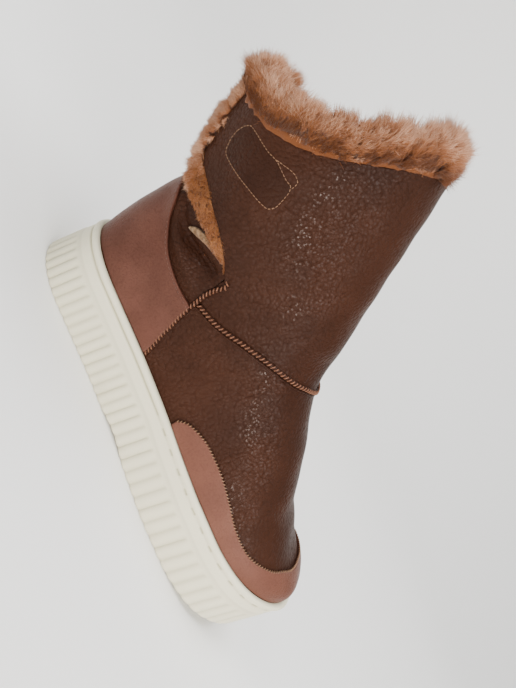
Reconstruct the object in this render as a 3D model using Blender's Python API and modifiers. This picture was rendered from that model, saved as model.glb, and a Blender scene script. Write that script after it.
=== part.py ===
"""Sheepskin ankle boot for the right foot.

Seven pieces: a ribbed cup sole, a wool footbed, one hollow wool-lined upper, a heel counter, a toe band,
the lateral closing flap and the wool collar that stands above the leather edge.

Tables are in millimetres: x forward from the back of the sole, y to the wearer's left, z up from the floor.
The part's own origin is on the floor under the middle of the heel. Nothing here moves: it is all soft goods.
"""
import math

import bmesh
import bpy
import numpy as np

MM = 0.001
MERGE = 0.00001            # metres, points closer than this are one
SHARP = math.radians(40)   # edges folded more than this are sharp

# ---------------------------------------------------------------- driving dimensions (mm)
LENGTH = 270.0             # sole, back of heel to toe tip
HEEL_CENTRE = 45.0         # the part's origin, forward of the back of the sole
GAP = 0.3                  # between pieces that touch
RIM_HEEL, RIM_TOE = 36.4, 38.6     # height of the sole's wall at heel and toe, over its own underside
SPRING_START, SPRING_RISE = 200.0, 12.0   # toe spring
SPRING_POWER = 1.8
ARCH_START, ARCH_END, ARCH_RISE = 98.0, 144.0, 1.6   # hollowed waist between heel and forefoot
UPPER_INSET = 4.8          # the upper stands this far inside the sole's outline
WALL_FOOT, WALL_SHAFT = 5.0, 9.0   # leather and wool together
WALL_GROWS = (0.2, 0.6)    # heights up the form between which the wall thickens
OVERLAY = 1.7              # counter and toe band leather
FLAP = 5.0                 # closing flap, leather and its own wool
FOOTBED = 8.5              # wool footbed
PLAN_POINTS = 2001         # along each side of the plan, before it is spaced evenly
CAVITY_RISE = 4.0          # the cavity's cutter stands this far above the sole's rim

RIBS_PER_SIDE = 46
RIB_DEPTH = 1.5

AROUND = 48                # columns round the upper
CROWDING = 0.35            # how much closer the columns stand round the heel and the toe

# plan of the sole: share of the length, half width on each side
PLAN_COLUMNS = ("share", "lateral", "medial")
PLAN = (
    (0.00, 36.4, 34.6),    # heel
    (0.14, 36.9, 35.2),
    (0.28, 36.8, 33.8),    # waist
    (0.42, 39.4, 33.8),
    (0.56, 45.4, 39.6),
    (0.66, 48.8, 45.6),    # ball
    (0.76, 48.9, 48.9),
    (0.86, 46.6, 49.0),    # toes
    (1.00, 40.0, 46.0),
)
# round ends of the plan: share of the length that each takes, and its squareness
HEEL_END, HEEL_SQUARE = 0.145, 2.3
TOE_END, TOE_SQUARE = 0.172, 2.35

# wall of the sole, a row for each level: share of the wall's height, distance out, share of the rib depth
WALL_COLUMNS = ("share", "out", "rib")
WALL_LEVELS = (
    (0.00, -1.5, 0.4),     # edge of the underside
    (0.05, 0.0, 1.0),      # foot of the ribs
    (0.62, 0.2, 1.0),      # head of the ribs
    (0.70, -0.5, 0.0),     # plain band
    (0.94, -0.4, 0.0),     # lip
    (1.00, -1.3, 0.0),
)

# tread bars, left standing between cut grooves
GROOVE_WIDTH, GROOVE_DEPTH, GROOVE_PITCH, TREAD_FRAME = 4.0, 2.5, 12.0, 11.0
GROOVE_RUNS = ((15.0, 7), (153.0, 5))     # first groove, number of grooves: heel and forefoot

# rings of the upper from the footbed to the collar. A ring runs from a point on the back seam line to a
# point on the front line; the half widths are the shaft's own, and shaft says how far the ring has left
# the foot's shape for the shaft's oval. follow: how far it follows the sole's toe spring. dip: how far its
# sides sag below the chord.
RING_COLUMNS = ("up", "back_x", "back_z", "front_x", "front_z", "lateral", "medial", "shaft", "follow", "dip")
RINGS = (
    (0.00, 6.0, 16.0, 262.5, 23.0, 33, 33, 0.00, 1.00, 0),      # footbed
    (0.10, 5.0, 36.4, 264.5, 48.9, 34, 33, 0.00, 1.00, 0),      # rim of the sole
    (0.16, 2.5, 48.0, 261.5, 56.5, 35, 34, 0.05, 0.95, 0),
    (0.22, 0.5, 57.0, 253.0, 61.5, 36, 35, 0.12, 0.90, 0),      # toe band
    (0.29, -1.0, 66.0, 235.0, 66.5, 37, 36, 0.25, 0.70, 0),
    (0.37, -2.0, 76.0, 211.0, 76.5, 38, 37, 0.45, 0.45, 0),
    (0.45, -3.0, 86.0, 182.0, 95.0, 39, 38, 0.70, 0.20, 0),     # instep
    (0.53, -3.5, 95.0, 146.0, 117.0, 40, 39, 0.95, 0.00, 0),    # ankle seam in front, counter top behind
    (0.62, -3.0, 103.0, 128.0, 140.5, 42, 41, 1.00, 0.00, 2),   # fold of the slack back panel
    (0.72, -13.0, 116.0, 110.0, 165.0, 44, 43, 1.00, 0.00, 5),
    (0.86, -23.5, 133.0, 85.0, 198.0, 46, 45, 1.00, 0.00, 10),
    (1.00, -31.0, 148.0, 59.0, 232.0, 47, 46, 1.00, 0.00, 15),  # collar edge
)
RIM_UP, ANKLE_UP = 0.10, 0.53
TOE_SECTION, INSTEP_SECTION, SHAFT_SECTION = 2.7, 2.2, 2.25   # squareness of the cross sections
SECTION_LENGTH = 100.0     # the instep's section becomes the toe's over this length

# heights up the shaft at which the upper's grid has a row
UPPER_ROWS = (0.0, 0.10, 0.12, 0.14, 0.16, 0.19, 0.22, 0.255, 0.29, 0.33, 0.37, 0.41, 0.45, 0.49, 0.53, 0.575,
              0.62, 0.645, 0.67, 0.72, 0.79, 0.86, 0.93, 1.0)

# edges of the overlays, in degrees round from the back by the lateral side, and up the rings
EDGE_COLUMNS = ("angle", "up")
COUNTER_TOP = ((0, 0.545), (16, 0.535), (30, 0.490), (40, 0.415), (50, 0.365), (60, 0.355), (70, 0.368))
COUNTER_FRONT = ((66.5, 0.106), (65.8, 0.19), (67.4, 0.29), (69.8, 0.368))
TOE_BAND_TOP = ((87, 0.125), (91, 0.175), (100, 0.213), (115, 0.207), (130, 0.180), (145, 0.209), (160, 0.240),
                (180, 0.250))
FLAP_FOOT = ((10, 0.665), (31, 0.631), (46, 0.620), (63, 0.578), (74, 0.540), (84, 0.515), (100, 0.520),
             (129, 0.545))
OVERLAY_FOOT = 0.106       # just above the sole's rim
FLAP_BACK, FLAP_FRONT = 9.0, 130.0       # it takes the columns between these angles
FLAP_TAPER = 0.3           # share of the flap's thickness that is left at its front edge
FLAP_ROWS, BAND_ROWS, COUNTER_ROWS = 12, 7, 10

# rings of the footbed: height over the form's foot, and how far its edge is drawn in
FOOTBED_RINGS = ((0.1, 0.8), (1.5, 0.0), (FOOTBED - 2.0, 0.0), (FOOTBED, 2.5))

# section of the wool collar: out from the leather's face and up from its edge
WOOL_SECTION = ((-0.6, 0.3), (2.6, 5.0), (3.8, 12.0), (1.6, 19.5), (-4.0, 24.0), (-10.5, 21.0), (-13.6, 13.5),
                (-12.4, 5.5), (-8.6, 0.3))

# colour, roughness
FINISHES = {
    "rubber_cream": ((0.73, 0.70, 0.58), 0.55),
    "wool_ginger": ((0.50, 0.19, 0.075), 0.95),
    "leather_dark": ((0.105, 0.045, 0.032), 0.42),
    "leather_red": ((0.19, 0.072, 0.045), 0.38),
}


# ---------------------------------------------------------------- numbers and curves
def table_column(table, names, name):
    """One named column of a table as an array."""
    return np.array(table, float)[:, names.index(name)]


def smooth(at, xs, ys):
    """Cubic through the points (xs, ys) that never overshoots them."""
    xs = np.asarray(xs, float)
    ys = np.asarray(ys, float)
    step = np.diff(xs)
    slope = np.diff(ys) / step
    weight_a = 2 * step[1:] + step[:-1]
    weight_b = step[1:] + 2 * step[:-1]
    same_way = slope[1:] * slope[:-1] > 0
    before = np.where(same_way, slope[:-1], 1.0)
    after = np.where(same_way, slope[1:], 1.0)
    tangent = np.empty_like(ys)
    tangent[1:-1] = np.where(same_way, (weight_a + weight_b) / (weight_a / before + weight_b / after), 0.0)
    tangent[0] = slope[0]
    tangent[-1] = slope[-1]
    at = np.clip(at, xs[0], xs[-1])
    i = np.clip(np.searchsorted(xs, at, side="right") - 1, 0, len(xs) - 2)
    t = (at - xs[i]) / step[i]
    return ((1 + 2 * t) * (1 - t) ** 2 * ys[i] + t * (1 - t) ** 2 * step[i] * tangent[i]
            + t * t * (3 - 2 * t) * ys[i + 1] + t * t * (t - 1) * step[i] * tangent[i + 1])


def round_ends(share, heel_end, toe_end):
    """1 along the middle of an outline, falling to 0 round its heel and its toe."""
    heel = np.clip(1 - share / heel_end, 0, 1)
    toe = np.clip((share - 1 + toe_end) / toe_end, 0, 1)
    return (1 - heel ** HEEL_SQUARE) ** (1 / HEEL_SQUARE) * (1 - toe ** TOE_SQUARE) ** (1 / TOE_SQUARE)


def plan_half(share, side):
    """Half width of the sole before its ends are rounded."""
    return smooth(share, table_column(PLAN, PLAN_COLUMNS, "share"), table_column(PLAN, PLAN_COLUMNS, side))


def half_width(share, side):
    """Half width of the sole."""
    return plan_half(share, side) * round_ends(share, HEEL_END, TOE_END)


def spring(x):
    """Height of the toe spring."""
    t = np.clip((x - SPRING_START) / (LENGTH - SPRING_START), 0, None)
    return SPRING_RISE * t ** SPRING_POWER


def underside(x):
    """Height of the sole's underside: flat heel, hollow waist, flat forefoot, toe spring."""
    t = np.clip((x - ARCH_START) / (ARCH_END - ARCH_START), 0, 1)
    return spring(x) + ARCH_RISE * np.sin(math.pi * t) ** 2


def rim(x):
    """Height of the top of the sole's wall."""
    return RIM_HEEL + (RIM_TOE - RIM_HEEL) * x / LENGTH + spring(x)


# ---------------------------------------------------------------- the upper's form
RING = {name: table_column(RINGS, RING_COLUMNS, name) for name in RING_COLUMNS}
CREST_POINTS = 400
CREST_UP = np.linspace(ANKLE_UP, RIM_UP, CREST_POINTS)    # instep, vamp and toe: the rings' front points
CREST_X = smooth(CREST_UP, RING["up"], RING["front_x"])
CREST_Z = smooth(CREST_UP, RING["up"], RING["front_z"])
ANKLE_FRONT, RIM_FRONT = CREST_X[0], CREST_X[-1]
BEHIND_SLOPE, BEHIND_BEND = 0.6, 0.02     # how the crest runs on upwards behind the ankle's front
DIP_SCALE = 6.75           # makes the greatest value of s (1 - s)^2 equal to 1
STEP = 1e-3                # in theta and in up, for slopes


def foot_half(x, back, side):
    """Half width of the foot's form in plan, for a ring that starts at back."""
    share = np.clip((x - back) / (RIM_FRONT - back), 0, 1)
    return (plan_half(share, side) - UPPER_INSET) * round_ends(share, HEEL_END, TOE_END)


def form(theta, up):
    """Outer face of the upper. theta turns from the back by the lateral side; up runs to the collar."""
    theta, up = np.broadcast_arrays(np.asarray(theta, float), np.asarray(up, float))
    ring = {name: smooth(up, RING["up"], RING[name]) for name in RING_COLUMNS[1:]}
    share = (1 - np.cos(theta)) / 2
    lateral = np.sin(theta) >= 0
    x = ring["back_x"] + share * (ring["front_x"] - ring["back_x"])
    level_spring = spring(x) - share * spring(ring["front_x"])
    z = ring["back_z"] + share * (ring["front_z"] - ring["back_z"]) + ring["follow"] * level_spring

    behind = np.clip(ANKLE_FRONT - x, 0, None)
    crest = np.interp(x, CREST_X, CREST_Z) + BEHIND_SLOPE * behind + BEHIND_BEND * behind ** 2
    base = rim(x)
    rise = np.clip((z - base) / np.maximum(crest - base, 1e-6), 0, 1)
    toward_toe = np.clip((x - ANKLE_FRONT) / SECTION_LENGTH, 0, 1)
    square = INSTEP_SECTION + (TOE_SECTION - INSTEP_SECTION) * toward_toe
    plan = np.where(lateral, foot_half(x, ring["back_x"], "lateral"), foot_half(x, ring["back_x"], "medial"))
    foot = plan * (1 - rise ** square) ** (1 / square)
    oval = (1 - np.abs(2 * share - 1) ** SHAFT_SECTION) ** (1 / SHAFT_SECTION)
    shaft = np.where(lateral, ring["lateral"], ring["medial"]) * oval
    half = (1 - ring["shaft"]) * foot + ring["shaft"] * shaft
    y = np.where(lateral, -half, half)

    chord_x = ring["front_x"] - ring["back_x"]
    chord_z = ring["front_z"] - ring["back_z"]
    chord = np.hypot(chord_x, chord_z)
    sag = ring["dip"] * DIP_SCALE * share * (1 - share) ** 2
    return np.stack([x + sag * chord_z / chord, y, z - sag * chord_x / chord], -1)


def directions(theta, up):
    """Outward normal and upward tangent of the form."""
    low = np.clip(np.asarray(up, float) - STEP, 0, 1)
    high = np.clip(np.asarray(up, float) + STEP, 0, 1)
    along_up = form(theta, high) - form(theta, low)
    along_theta = form(theta + STEP, up) - form(theta - STEP, up)
    normal = np.cross(along_theta, along_up)
    normal /= np.linalg.norm(normal, axis=-1, keepdims=True)
    along_up /= np.linalg.norm(along_up, axis=-1, keepdims=True)
    return normal, along_up


def larger_form(theta, up, out):
    """The form grown outwards by out, or drawn in where out is negative."""
    normal, _ = directions(theta, up)
    return form(theta, up) + normal * np.asarray(out)[..., None]


def column_angles():
    """Angles of the upper's columns, crowded round the heel and the toe."""
    even = np.linspace(0, 2 * math.pi, AROUND, endpoint=False)
    return even - CROWDING / 2 * np.sin(2 * even)


def wall(up):
    """Thickness of the upper's wall."""
    start, end = WALL_GROWS
    return WALL_FOOT + (WALL_SHAFT - WALL_FOOT) * np.clip((up - start) / (end - start), 0, 1)


# ---------------------------------------------------------------- meshes
def material(name):
    """Principled material from the table of finishes."""
    if name in bpy.data.materials:
        return bpy.data.materials[name]
    colour, roughness = FINISHES[name]
    result = bpy.data.materials.new(name)
    result.use_nodes = True
    shader = result.node_tree.nodes["Principled BSDF"]
    shader.inputs["Base Color"].default_value = (*colour, 1.0)
    shader.inputs["Roughness"].default_value = roughness
    shader.inputs["Metallic"].default_value = 0.0
    return result


def add_object(name, points, faces, finish, collection):
    """Object from points in table millimetres; a finish of None makes a cutter."""
    scaled = (np.asarray(points, float).reshape(-1, 3) - (HEEL_CENTRE, 0, 0)) * MM
    mesh = bpy.data.meshes.new(name)
    mesh.from_pydata(scaled.tolist(), [], [tuple(int(i) for i in face) for face in faces])
    work = bmesh.new()
    work.from_mesh(mesh)
    bmesh.ops.remove_doubles(work, verts=work.verts, dist=MERGE)
    bmesh.ops.triangulate(work, faces=work.faces)
    work.to_mesh(mesh)
    work.free()
    mesh.shade_smooth()
    item = bpy.data.objects.new(name, mesh)
    collection.objects.link(item)
    if finish is None:
        item.hide_render = True
        item.display_type = "WIRE"
    else:
        mesh.materials.append(material(finish))
        mesh.set_sharp_from_angle(angle=SHARP)
    return item


def grid_faces(rows, columns, closed):
    """Quads of a grid stored row by row; a closed grid joins its last column to its first."""
    faces = []
    for row in range(rows - 1):
        for col in range(columns if closed else columns - 1):
            right = (col + 1) % columns
            faces.append((row * columns + col, row * columns + right,
                          (row + 1) * columns + right, (row + 1) * columns + col))
    return faces


def cap_faces(first, columns, facing_up):
    """Strips across a closed ring that starts at the back: each point is joined to its mirror point."""
    faces = []
    for col in range(columns // 2):
        mirror = first + (columns - col) % columns
        next_mirror = first + columns - col - 1
        ring = list(dict.fromkeys((first + col, first + col + 1, next_mirror, mirror)))
        faces.append(ring if facing_up else ring[::-1])
    return faces


def closed_loft(rings):
    """Points and faces of a body through closed rings, from the bottom ring to the top one."""
    rows, columns = len(rings), len(rings[0])
    faces = grid_faces(rows, columns, True)
    faces += cap_faces(0, columns, False)
    faces += cap_faces((rows - 1) * columns, columns, True)
    return np.concatenate(rings), faces


def thicken(item, thickness, offset, weights=None):
    """Solidify the open surface; offset -1 grows it inwards and 1 outwards."""
    modifier = item.modifiers.new("wall", "SOLIDIFY")
    modifier.thickness = thickness * MM
    modifier.offset = offset
    modifier.use_rim = True
    if weights is not None:
        group = item.vertex_groups.new(name="wall")
        for index, weight in enumerate(np.asarray(weights, float).ravel()):
            group.add([index], float(weight), "REPLACE")
        modifier.vertex_group = group.name


def cut(item, cutter):
    """Exact Boolean difference."""
    modifier = item.modifiers.new(cutter.name, "BOOLEAN")
    modifier.operation = "DIFFERENCE"
    modifier.solver = "EXACT"
    modifier.object = cutter


# ---------------------------------------------------------------- pieces
def sole_side(side, sign, count):
    """Plan points of one side from heel to toe, evenly spaced, with their outward directions."""
    share = (1 - np.cos(np.linspace(0, math.pi, PLAN_POINTS))) / 2
    half = half_width(share, side)
    line = np.stack([share * LENGTH, sign * half], -1)
    length = np.concatenate([[0], np.cumsum(np.linalg.norm(np.diff(line, axis=0), axis=1))])
    at = np.linspace(0, length[-1], count + 1)
    points = np.stack([np.interp(at, length, line[:, k]) for k in (0, 1)], -1)
    tangent = np.gradient(points, axis=0)
    tangent /= np.linalg.norm(tangent, axis=1, keepdims=True)
    outward = np.stack([tangent[:, 1], -tangent[:, 0]], -1) * -sign
    outward[0] = (-1, 0)
    outward[-1] = (1, 0)
    return points, outward


def sole_plan():
    """Closed plan of the sole from the back by the lateral side, two points to each rib."""
    count = 2 * RIBS_PER_SIDE
    lateral, lateral_out = sole_side("lateral", -1, count)
    medial, medial_out = sole_side("medial", 1, count)
    points = np.concatenate([lateral, medial[-2:0:-1]])
    outward = np.concatenate([lateral_out, medial_out[-2:0:-1]])
    return points, outward


def make_sole(parts, cutters):
    """Cup sole: ribbed wall, plain band, lip, a cavity for the upper and bars of tread."""
    plan, outward = sole_plan()
    rib = np.where(np.arange(len(plan)) % 2 == 0, 0.0, -RIB_DEPTH)
    rings = []
    for share, out, rib_share in WALL_LEVELS:
        xy = plan + outward * (out + rib_share * rib)[:, None]
        low = underside(xy[:, 0])
        z = low + share * (rim(xy[:, 0]) - low)
        rings.append(np.column_stack([xy, z]))
    points, faces = closed_loft(rings)
    sole = add_object("sole", points, faces, "rubber_cream", parts)

    theta = column_angles()
    floor_ring = larger_form(theta, 0.0, np.full(AROUND, GAP)) - (0, 0, GAP)
    middle_ring = larger_form(theta, RIM_UP / 2, np.full(AROUND, GAP))
    rim_ring = larger_form(theta, RIM_UP, np.full(AROUND, GAP))
    points, faces = closed_loft([floor_ring, middle_ring, rim_ring, rim_ring + (0, 0, CAVITY_RISE)])
    cut(sole, add_object("cavity_cutter", points, faces, None, cutters))

    for first, number in GROOVE_RUNS:
        for index in range(number):
            x = first + index * GROOVE_PITCH
            lateral = half_width(x / LENGTH, "lateral") - TREAD_FRAME
            medial = half_width(x / LENGTH, "medial") - TREAD_FRAME
            bpy.ops.mesh.primitive_cube_add(size=1)
            groove = bpy.context.object
            groove.name = f"groove_cutter_{x:.0f}"
            groove.scale = (GROOVE_WIDTH * MM, (lateral + medial) * MM, 2 * GROOVE_DEPTH * MM)
            groove.location = ((x - HEEL_CENTRE) * MM, (medial - lateral) / 2 * MM, 0)
            groove.hide_render = True
            groove.display_type = "WIRE"
            for holder in groove.users_collection:
                holder.objects.unlink(groove)
            cutters.objects.link(groove)
            cut(sole, groove)


def make_upper(parts):
    """Vamp, back panel and shaft as one hollow wall, open at the collar and underneath."""
    theta = column_angles()
    up = np.array(UPPER_ROWS)
    points = form(theta[None, :], up[:, None])
    upper = add_object("upper", points, grid_faces(len(up), AROUND, True), "leather_dark", parts)
    weights = np.broadcast_to((wall(up) / WALL_SHAFT)[:, None], points.shape[:2])
    thicken(upper, WALL_SHAFT, -1, weights)


def make_insole(parts):
    """Wool footbed inside the upper's wall, on the sole's floor."""
    theta = column_angles()
    rings = []
    for lift, draw_in in FOOTBED_RINGS:
        inside = np.full(AROUND, -(WALL_FOOT + 2 * GAP + draw_in))
        rings.append(larger_form(theta, 0.0, inside) + (0, 0, lift))
    points, faces = closed_loft(rings)
    add_object("insole", points, faces, "wool_ginger", parts)


def overlay(name, theta, up, thickness, finish, parts, weights=None):
    """Leather piece proud of the upper: a patch of the form grown by the gap, thickened outwards."""
    theta = np.broadcast_to(theta, up.shape)
    patch = larger_form(theta, up, np.full(up.shape, GAP))
    item = add_object(name, patch, grid_faces(*up.shape, False), finish, parts)
    thicken(item, thickness, 1, weights)


def edge(table, angle):
    """Height of an overlay's edge at an angle in degrees."""
    return smooth(angle, table_column(table, EDGE_COLUMNS, "angle"), table_column(table, EDGE_COLUMNS, "up"))


def make_heel_counter(parts):
    """Smooth leather round the heel, high at the back and low at the sides."""
    rise = np.linspace(0, 1, COUNTER_ROWS)[:, None]
    ups = table_column(COUNTER_FRONT, EDGE_COLUMNS, "up")
    front_angles = table_column(COUNTER_FRONT, EDGE_COLUMNS, "angle")
    front = smooth(OVERLAY_FOOT + rise * (ups[-1] - OVERLAY_FOOT), ups, front_angles)
    angles = np.degrees(column_angles())
    side = angles[angles < COUNTER_FRONT[0][0] - 2]
    half = np.concatenate([np.broadcast_to(side, (COUNTER_ROWS, len(side))), front], axis=1)
    angle = np.concatenate([-half[:, :0:-1], half], axis=1)      # the medial side mirrors the lateral one
    up = OVERLAY_FOOT + rise * (edge(COUNTER_TOP, np.abs(angle)) - OVERLAY_FOOT)
    overlay("heel_counter", np.radians(angle), up, OVERLAY, "leather_red", parts)


def make_toe_band(parts):
    """Smooth leather band round the toe, standing on the sole's rim."""
    rise = np.linspace(0, 1, BAND_ROWS)[:, None]
    angles = np.degrees(column_angles())
    start = TOE_BAND_TOP[0][0]
    angle = angles[(angles > start) & (angles < 360 - start)][None, :]
    top = edge(TOE_BAND_TOP, 180 - np.abs(angle - 180))
    up = OVERLAY_FOOT + rise * (top - OVERLAY_FOOT)
    overlay("toe_band", np.radians(angle), up, OVERLAY, "leather_red", parts)


def make_flap(parts):
    """Closing flap: the front panel's free end, lapped over the back panel on the lateral side."""
    angles = np.degrees(column_angles())
    angle = angles[(angles > FLAP_BACK) & (angles < FLAP_FRONT)][None, :]
    rise = np.linspace(0, 1, FLAP_ROWS)[:, None]
    foot = edge(FLAP_FOOT, angle)
    up = foot + rise * (1.0 - foot)
    forward = np.broadcast_to((angle - FLAP_BACK) / (FLAP_FRONT - FLAP_BACK), up.shape)
    weights = 1 - (1 - FLAP_TAPER) * forward
    overlay("closure_flap", np.radians(angle), up, FLAP, "leather_dark", parts, weights)


def make_wool_collar(parts):
    """Roll of long wool that stands on the upper's top edge."""
    theta = column_angles()
    edge_line = form(theta, 1.0)
    normal, upward = directions(theta, np.ones(AROUND))
    rings = [edge_line + normal * out + upward * rise for out, rise in WOOL_SECTION]
    rings.append(rings[0])
    faces = grid_faces(len(rings), AROUND, True)
    add_object("wool_collar", np.concatenate(rings), faces, "wool_ginger", parts)


def main():
    """Clear the scene and build every piece."""
    for item in list(bpy.data.objects):
        bpy.data.objects.remove(item, do_unlink=True)
    parts = bpy.data.collections.new("sheepskin_boot")
    cutters = bpy.data.collections.new("cutters")
    for collection in (parts, cutters):
        bpy.context.scene.collection.children.link(collection)
    make_sole(parts, cutters)
    make_insole(parts)
    make_upper(parts)
    make_heel_counter(parts)
    make_toe_band(parts)
    make_flap(parts)
    make_wool_collar(parts)


main()
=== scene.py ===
# %% [markdown]
# # A sheepskin boot, one piece at a time
# The plain solids of this ankle boot are already packed: they say where everything is and what collides.
# This lesson puts the looks around them: a ribbed rubber cup sole, soft pebbled leather panels, rope-like
# seams and deep curly wool. The first cell loads the solids as a fixed frame, and every new piece is made
# straight in its place around them, so nothing is ever fitted by eye.

# %% Load the frame
import math

import bpy
import numpy as np
from mathutils import Matrix, Vector


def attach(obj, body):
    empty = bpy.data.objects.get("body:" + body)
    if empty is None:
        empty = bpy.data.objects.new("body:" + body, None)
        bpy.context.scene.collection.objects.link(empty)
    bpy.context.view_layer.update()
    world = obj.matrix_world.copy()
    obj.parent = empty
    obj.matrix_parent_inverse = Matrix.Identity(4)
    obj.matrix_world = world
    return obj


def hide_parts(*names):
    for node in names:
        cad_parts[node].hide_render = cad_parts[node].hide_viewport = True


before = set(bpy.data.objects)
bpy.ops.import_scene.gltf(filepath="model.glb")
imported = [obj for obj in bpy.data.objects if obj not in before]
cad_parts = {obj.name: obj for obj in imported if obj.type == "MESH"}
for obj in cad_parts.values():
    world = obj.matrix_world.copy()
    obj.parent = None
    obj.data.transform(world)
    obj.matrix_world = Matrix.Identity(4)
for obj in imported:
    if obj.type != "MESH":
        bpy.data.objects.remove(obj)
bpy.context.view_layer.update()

print("solids:", ", ".join(sorted(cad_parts)))

# %% [markdown]
# ## Units and smooth curves
# A shoemaker measures in millimetres from the back of the sole, so the tables here do too: x runs forward,
# y to the wearer's left, z up from the floor. The origin of the part is on the floor under the middle of the
# heel. Curves go through short tables with a cubic that never overshoots its points, because an overshoot
# would show as a bulge in the leather.

# %% Units and curves
MM = 0.001
TURN = 2 * math.pi
LENGTH = 270.0  # of the sole
ORIGIN = (45.0, 0.0, 0.0)  # the part's origin, forward of the back of the sole


def smooth(at, xs, ys):
    """Cubic through the points (xs, ys). Each tangent is a weighted harmonic mean of the slopes beside it,
    and 0 at a turning point, so the curve never overshoots."""
    xs, ys = np.asarray(xs, float), np.asarray(ys, float)
    step = np.diff(xs)
    slope = np.diff(ys) / step
    weight_a, weight_b = 2 * step[1:] + step[:-1], step[1:] + 2 * step[:-1]
    same_way = slope[1:] * slope[:-1] > 0
    before, after = np.where(same_way, slope[:-1], 1.0), np.where(same_way, slope[1:], 1.0)
    tangent = np.append(slope[0], slope)
    tangent[1:-1] = np.where(same_way, (weight_a + weight_b) / (weight_a / before + weight_b / after), 0.0)
    at = np.clip(at, xs[0], xs[-1])
    i = np.clip(np.searchsorted(xs, at, side="right") - 1, 0, len(xs) - 2)
    t = (at - xs[i]) / step[i]
    return ((1 + 2 * t) * (1 - t) ** 2 * ys[i] + t * (1 - t) ** 2 * step[i] * tangent[i]
            + t * t * (3 - 2 * t) * ys[i + 1] + t * t * (t - 1) * step[i] * tangent[i + 1])


def through(table, at):
    """The curve through a table of pairs."""
    return smooth(at, *np.array(table, float).T)


def swapped(table):
    """The same pairs the other way round."""
    return [pair[::-1] for pair in table]


def trace(knots, share):
    """Every column of a table as a curve; share runs from 0 at its first row to 1 at its last."""
    at, order = share * (len(knots) - 1), np.arange(len(knots))
    return [smooth(at, order, column) for column in np.array(knots, float).T]


def between(ends, share):
    """The value at a share of the way from one end to the other."""
    return ends[0] + (ends[1] - ends[0]) * share


def ease(value, low, high):
    """0 below low, 1 above high, and the S-shaped 3t² - 2t³ between them."""
    t = np.clip((value - low) / (high - low), 0, 1)
    return t * t * (3 - 2 * t)


def unit(vectors):
    """Each vector divided by its length."""
    return vectors / np.maximum(np.linalg.norm(vectors, axis=-1, keepdims=True), 1e-9)


def moved(points, way, distance):
    """Points moved along their directions by these distances."""
    return points + way * np.asarray(distance)[..., None]


def run_along(points, axis=0):
    """Distance from the first point to each point of a line, or of the lines of a grid along one axis."""
    run = np.cumsum(np.linalg.norm(np.diff(points, axis=axis), axis=-1), axis=axis)
    return np.insert(run, 0, 0.0, axis=axis)


def pick(rows, run, at):
    """Rows of values at given distances along a line, where run holds the distance of each row."""
    return np.stack([np.interp(at, run, column) for column in rows.T], -1)


# %% [markdown]
# ## The form
# A boot is pulled over a form, a last. Every leather piece, seam and lock of wool here is placed on one
# function of two parameters, the same one that the solids came from: theta turns once round the boot from
# the back seam by the outer side to the toe, and up climbs from the footbed (0) over the edge of the sole
# (0.1) to the collar (1). Each table row is one ring. Where shaft is 0 the ring takes the foot's outline,
# where it is 1 it is the oval of the leg.

# %% The form's tables
PLAN = (  # share of the length, and half widths of the sole
    (0.00, 36.4, 34.6), (0.14, 36.9, 35.2), (0.28, 36.8, 33.8), (0.42, 39.4, 33.8), (0.56, 45.4, 39.6),
    (0.66, 48.8, 45.6), (0.76, 48.9, 48.9), (0.86, 46.6, 49.0), (1.00, 40.0, 46.0),
)
HEEL_END, HEEL_SQUARE = 0.145, 2.3  # share of the length that is round, and the power of its curve
TOE_END, TOE_SQUARE = 0.172, 2.35
RIM_HEEL, RIM_TOE = 36.4, 38.6  # height of the sole's wall
SPRING_START, SPRING_RISE, SPRING_POWER = 200.0, 12.0, 1.8
ARCH_START, ARCH_END, ARCH_RISE = 98.0, 144.0, 1.6
UPPER_INSET = 4.8  # from the sole's outline to the foot's
RINGS = (  # up, back x and z, front x and z, half widths lateral and medial, shaft, follow, dip
    (0.00, 6.0, 16.0, 262.5, 23.0, 33, 33, 0.00, 1.00, 0),  # footbed
    (0.10, 5.0, 36.4, 264.5, 48.9, 34, 33, 0.00, 1.00, 0),  # edge of the sole
    (0.16, 2.5, 48.0, 261.5, 56.5, 35, 34, 0.05, 0.95, 0),
    (0.22, 0.5, 57.0, 253.0, 61.5, 36, 35, 0.12, 0.90, 0),  # toe band
    (0.29, -1.0, 66.0, 235.0, 66.5, 37, 36, 0.25, 0.70, 0),
    (0.37, -2.0, 76.0, 211.0, 76.5, 38, 37, 0.45, 0.45, 0),
    (0.45, -3.0, 86.0, 182.0, 95.0, 39, 38, 0.70, 0.20, 0),  # instep
    (0.53, -3.5, 95.0, 146.0, 117.0, 40, 39, 0.95, 0.00, 0),  # ankle
    (0.62, -3.0, 103.0, 128.0, 140.5, 42, 41, 1.00, 0.00, 2),
    (0.72, -13.0, 116.0, 110.0, 165.0, 44, 43, 1.00, 0.00, 5),
    (0.86, -23.5, 133.0, 85.0, 198.0, 46, 45, 1.00, 0.00, 10),
    (1.00, -31.0, 148.0, 59.0, 232.0, 47, 46, 1.00, 0.00, 15),  # collar
)
RIM_UP, ANKLE_UP, CREST_POINTS = 0.10, 0.53, 400
TOE_SECTION, INSTEP_SECTION, SHAFT_SECTION = 2.7, 2.2, 2.25
SECTION_LENGTH = 100.0
BEHIND_SLOPE, BEHIND_BEND = 0.6, 0.02  # how the crest runs on upwards behind the ankle's front
DIP_SCALE = 6.75  # makes the greatest value of s (1 - s)² equal to 1
STEP = 1e-3  # in theta and in up, for slopes

# %% The form's functions
plan_share, plan_lateral, plan_medial = np.array(PLAN).T
ring_up, *ring_columns = np.array(RINGS).T
crest_x, crest_z = [smooth(np.linspace(ANKLE_UP, RIM_UP, CREST_POINTS), ring_up, column)
                    for column in ring_columns[2:4]]


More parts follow.
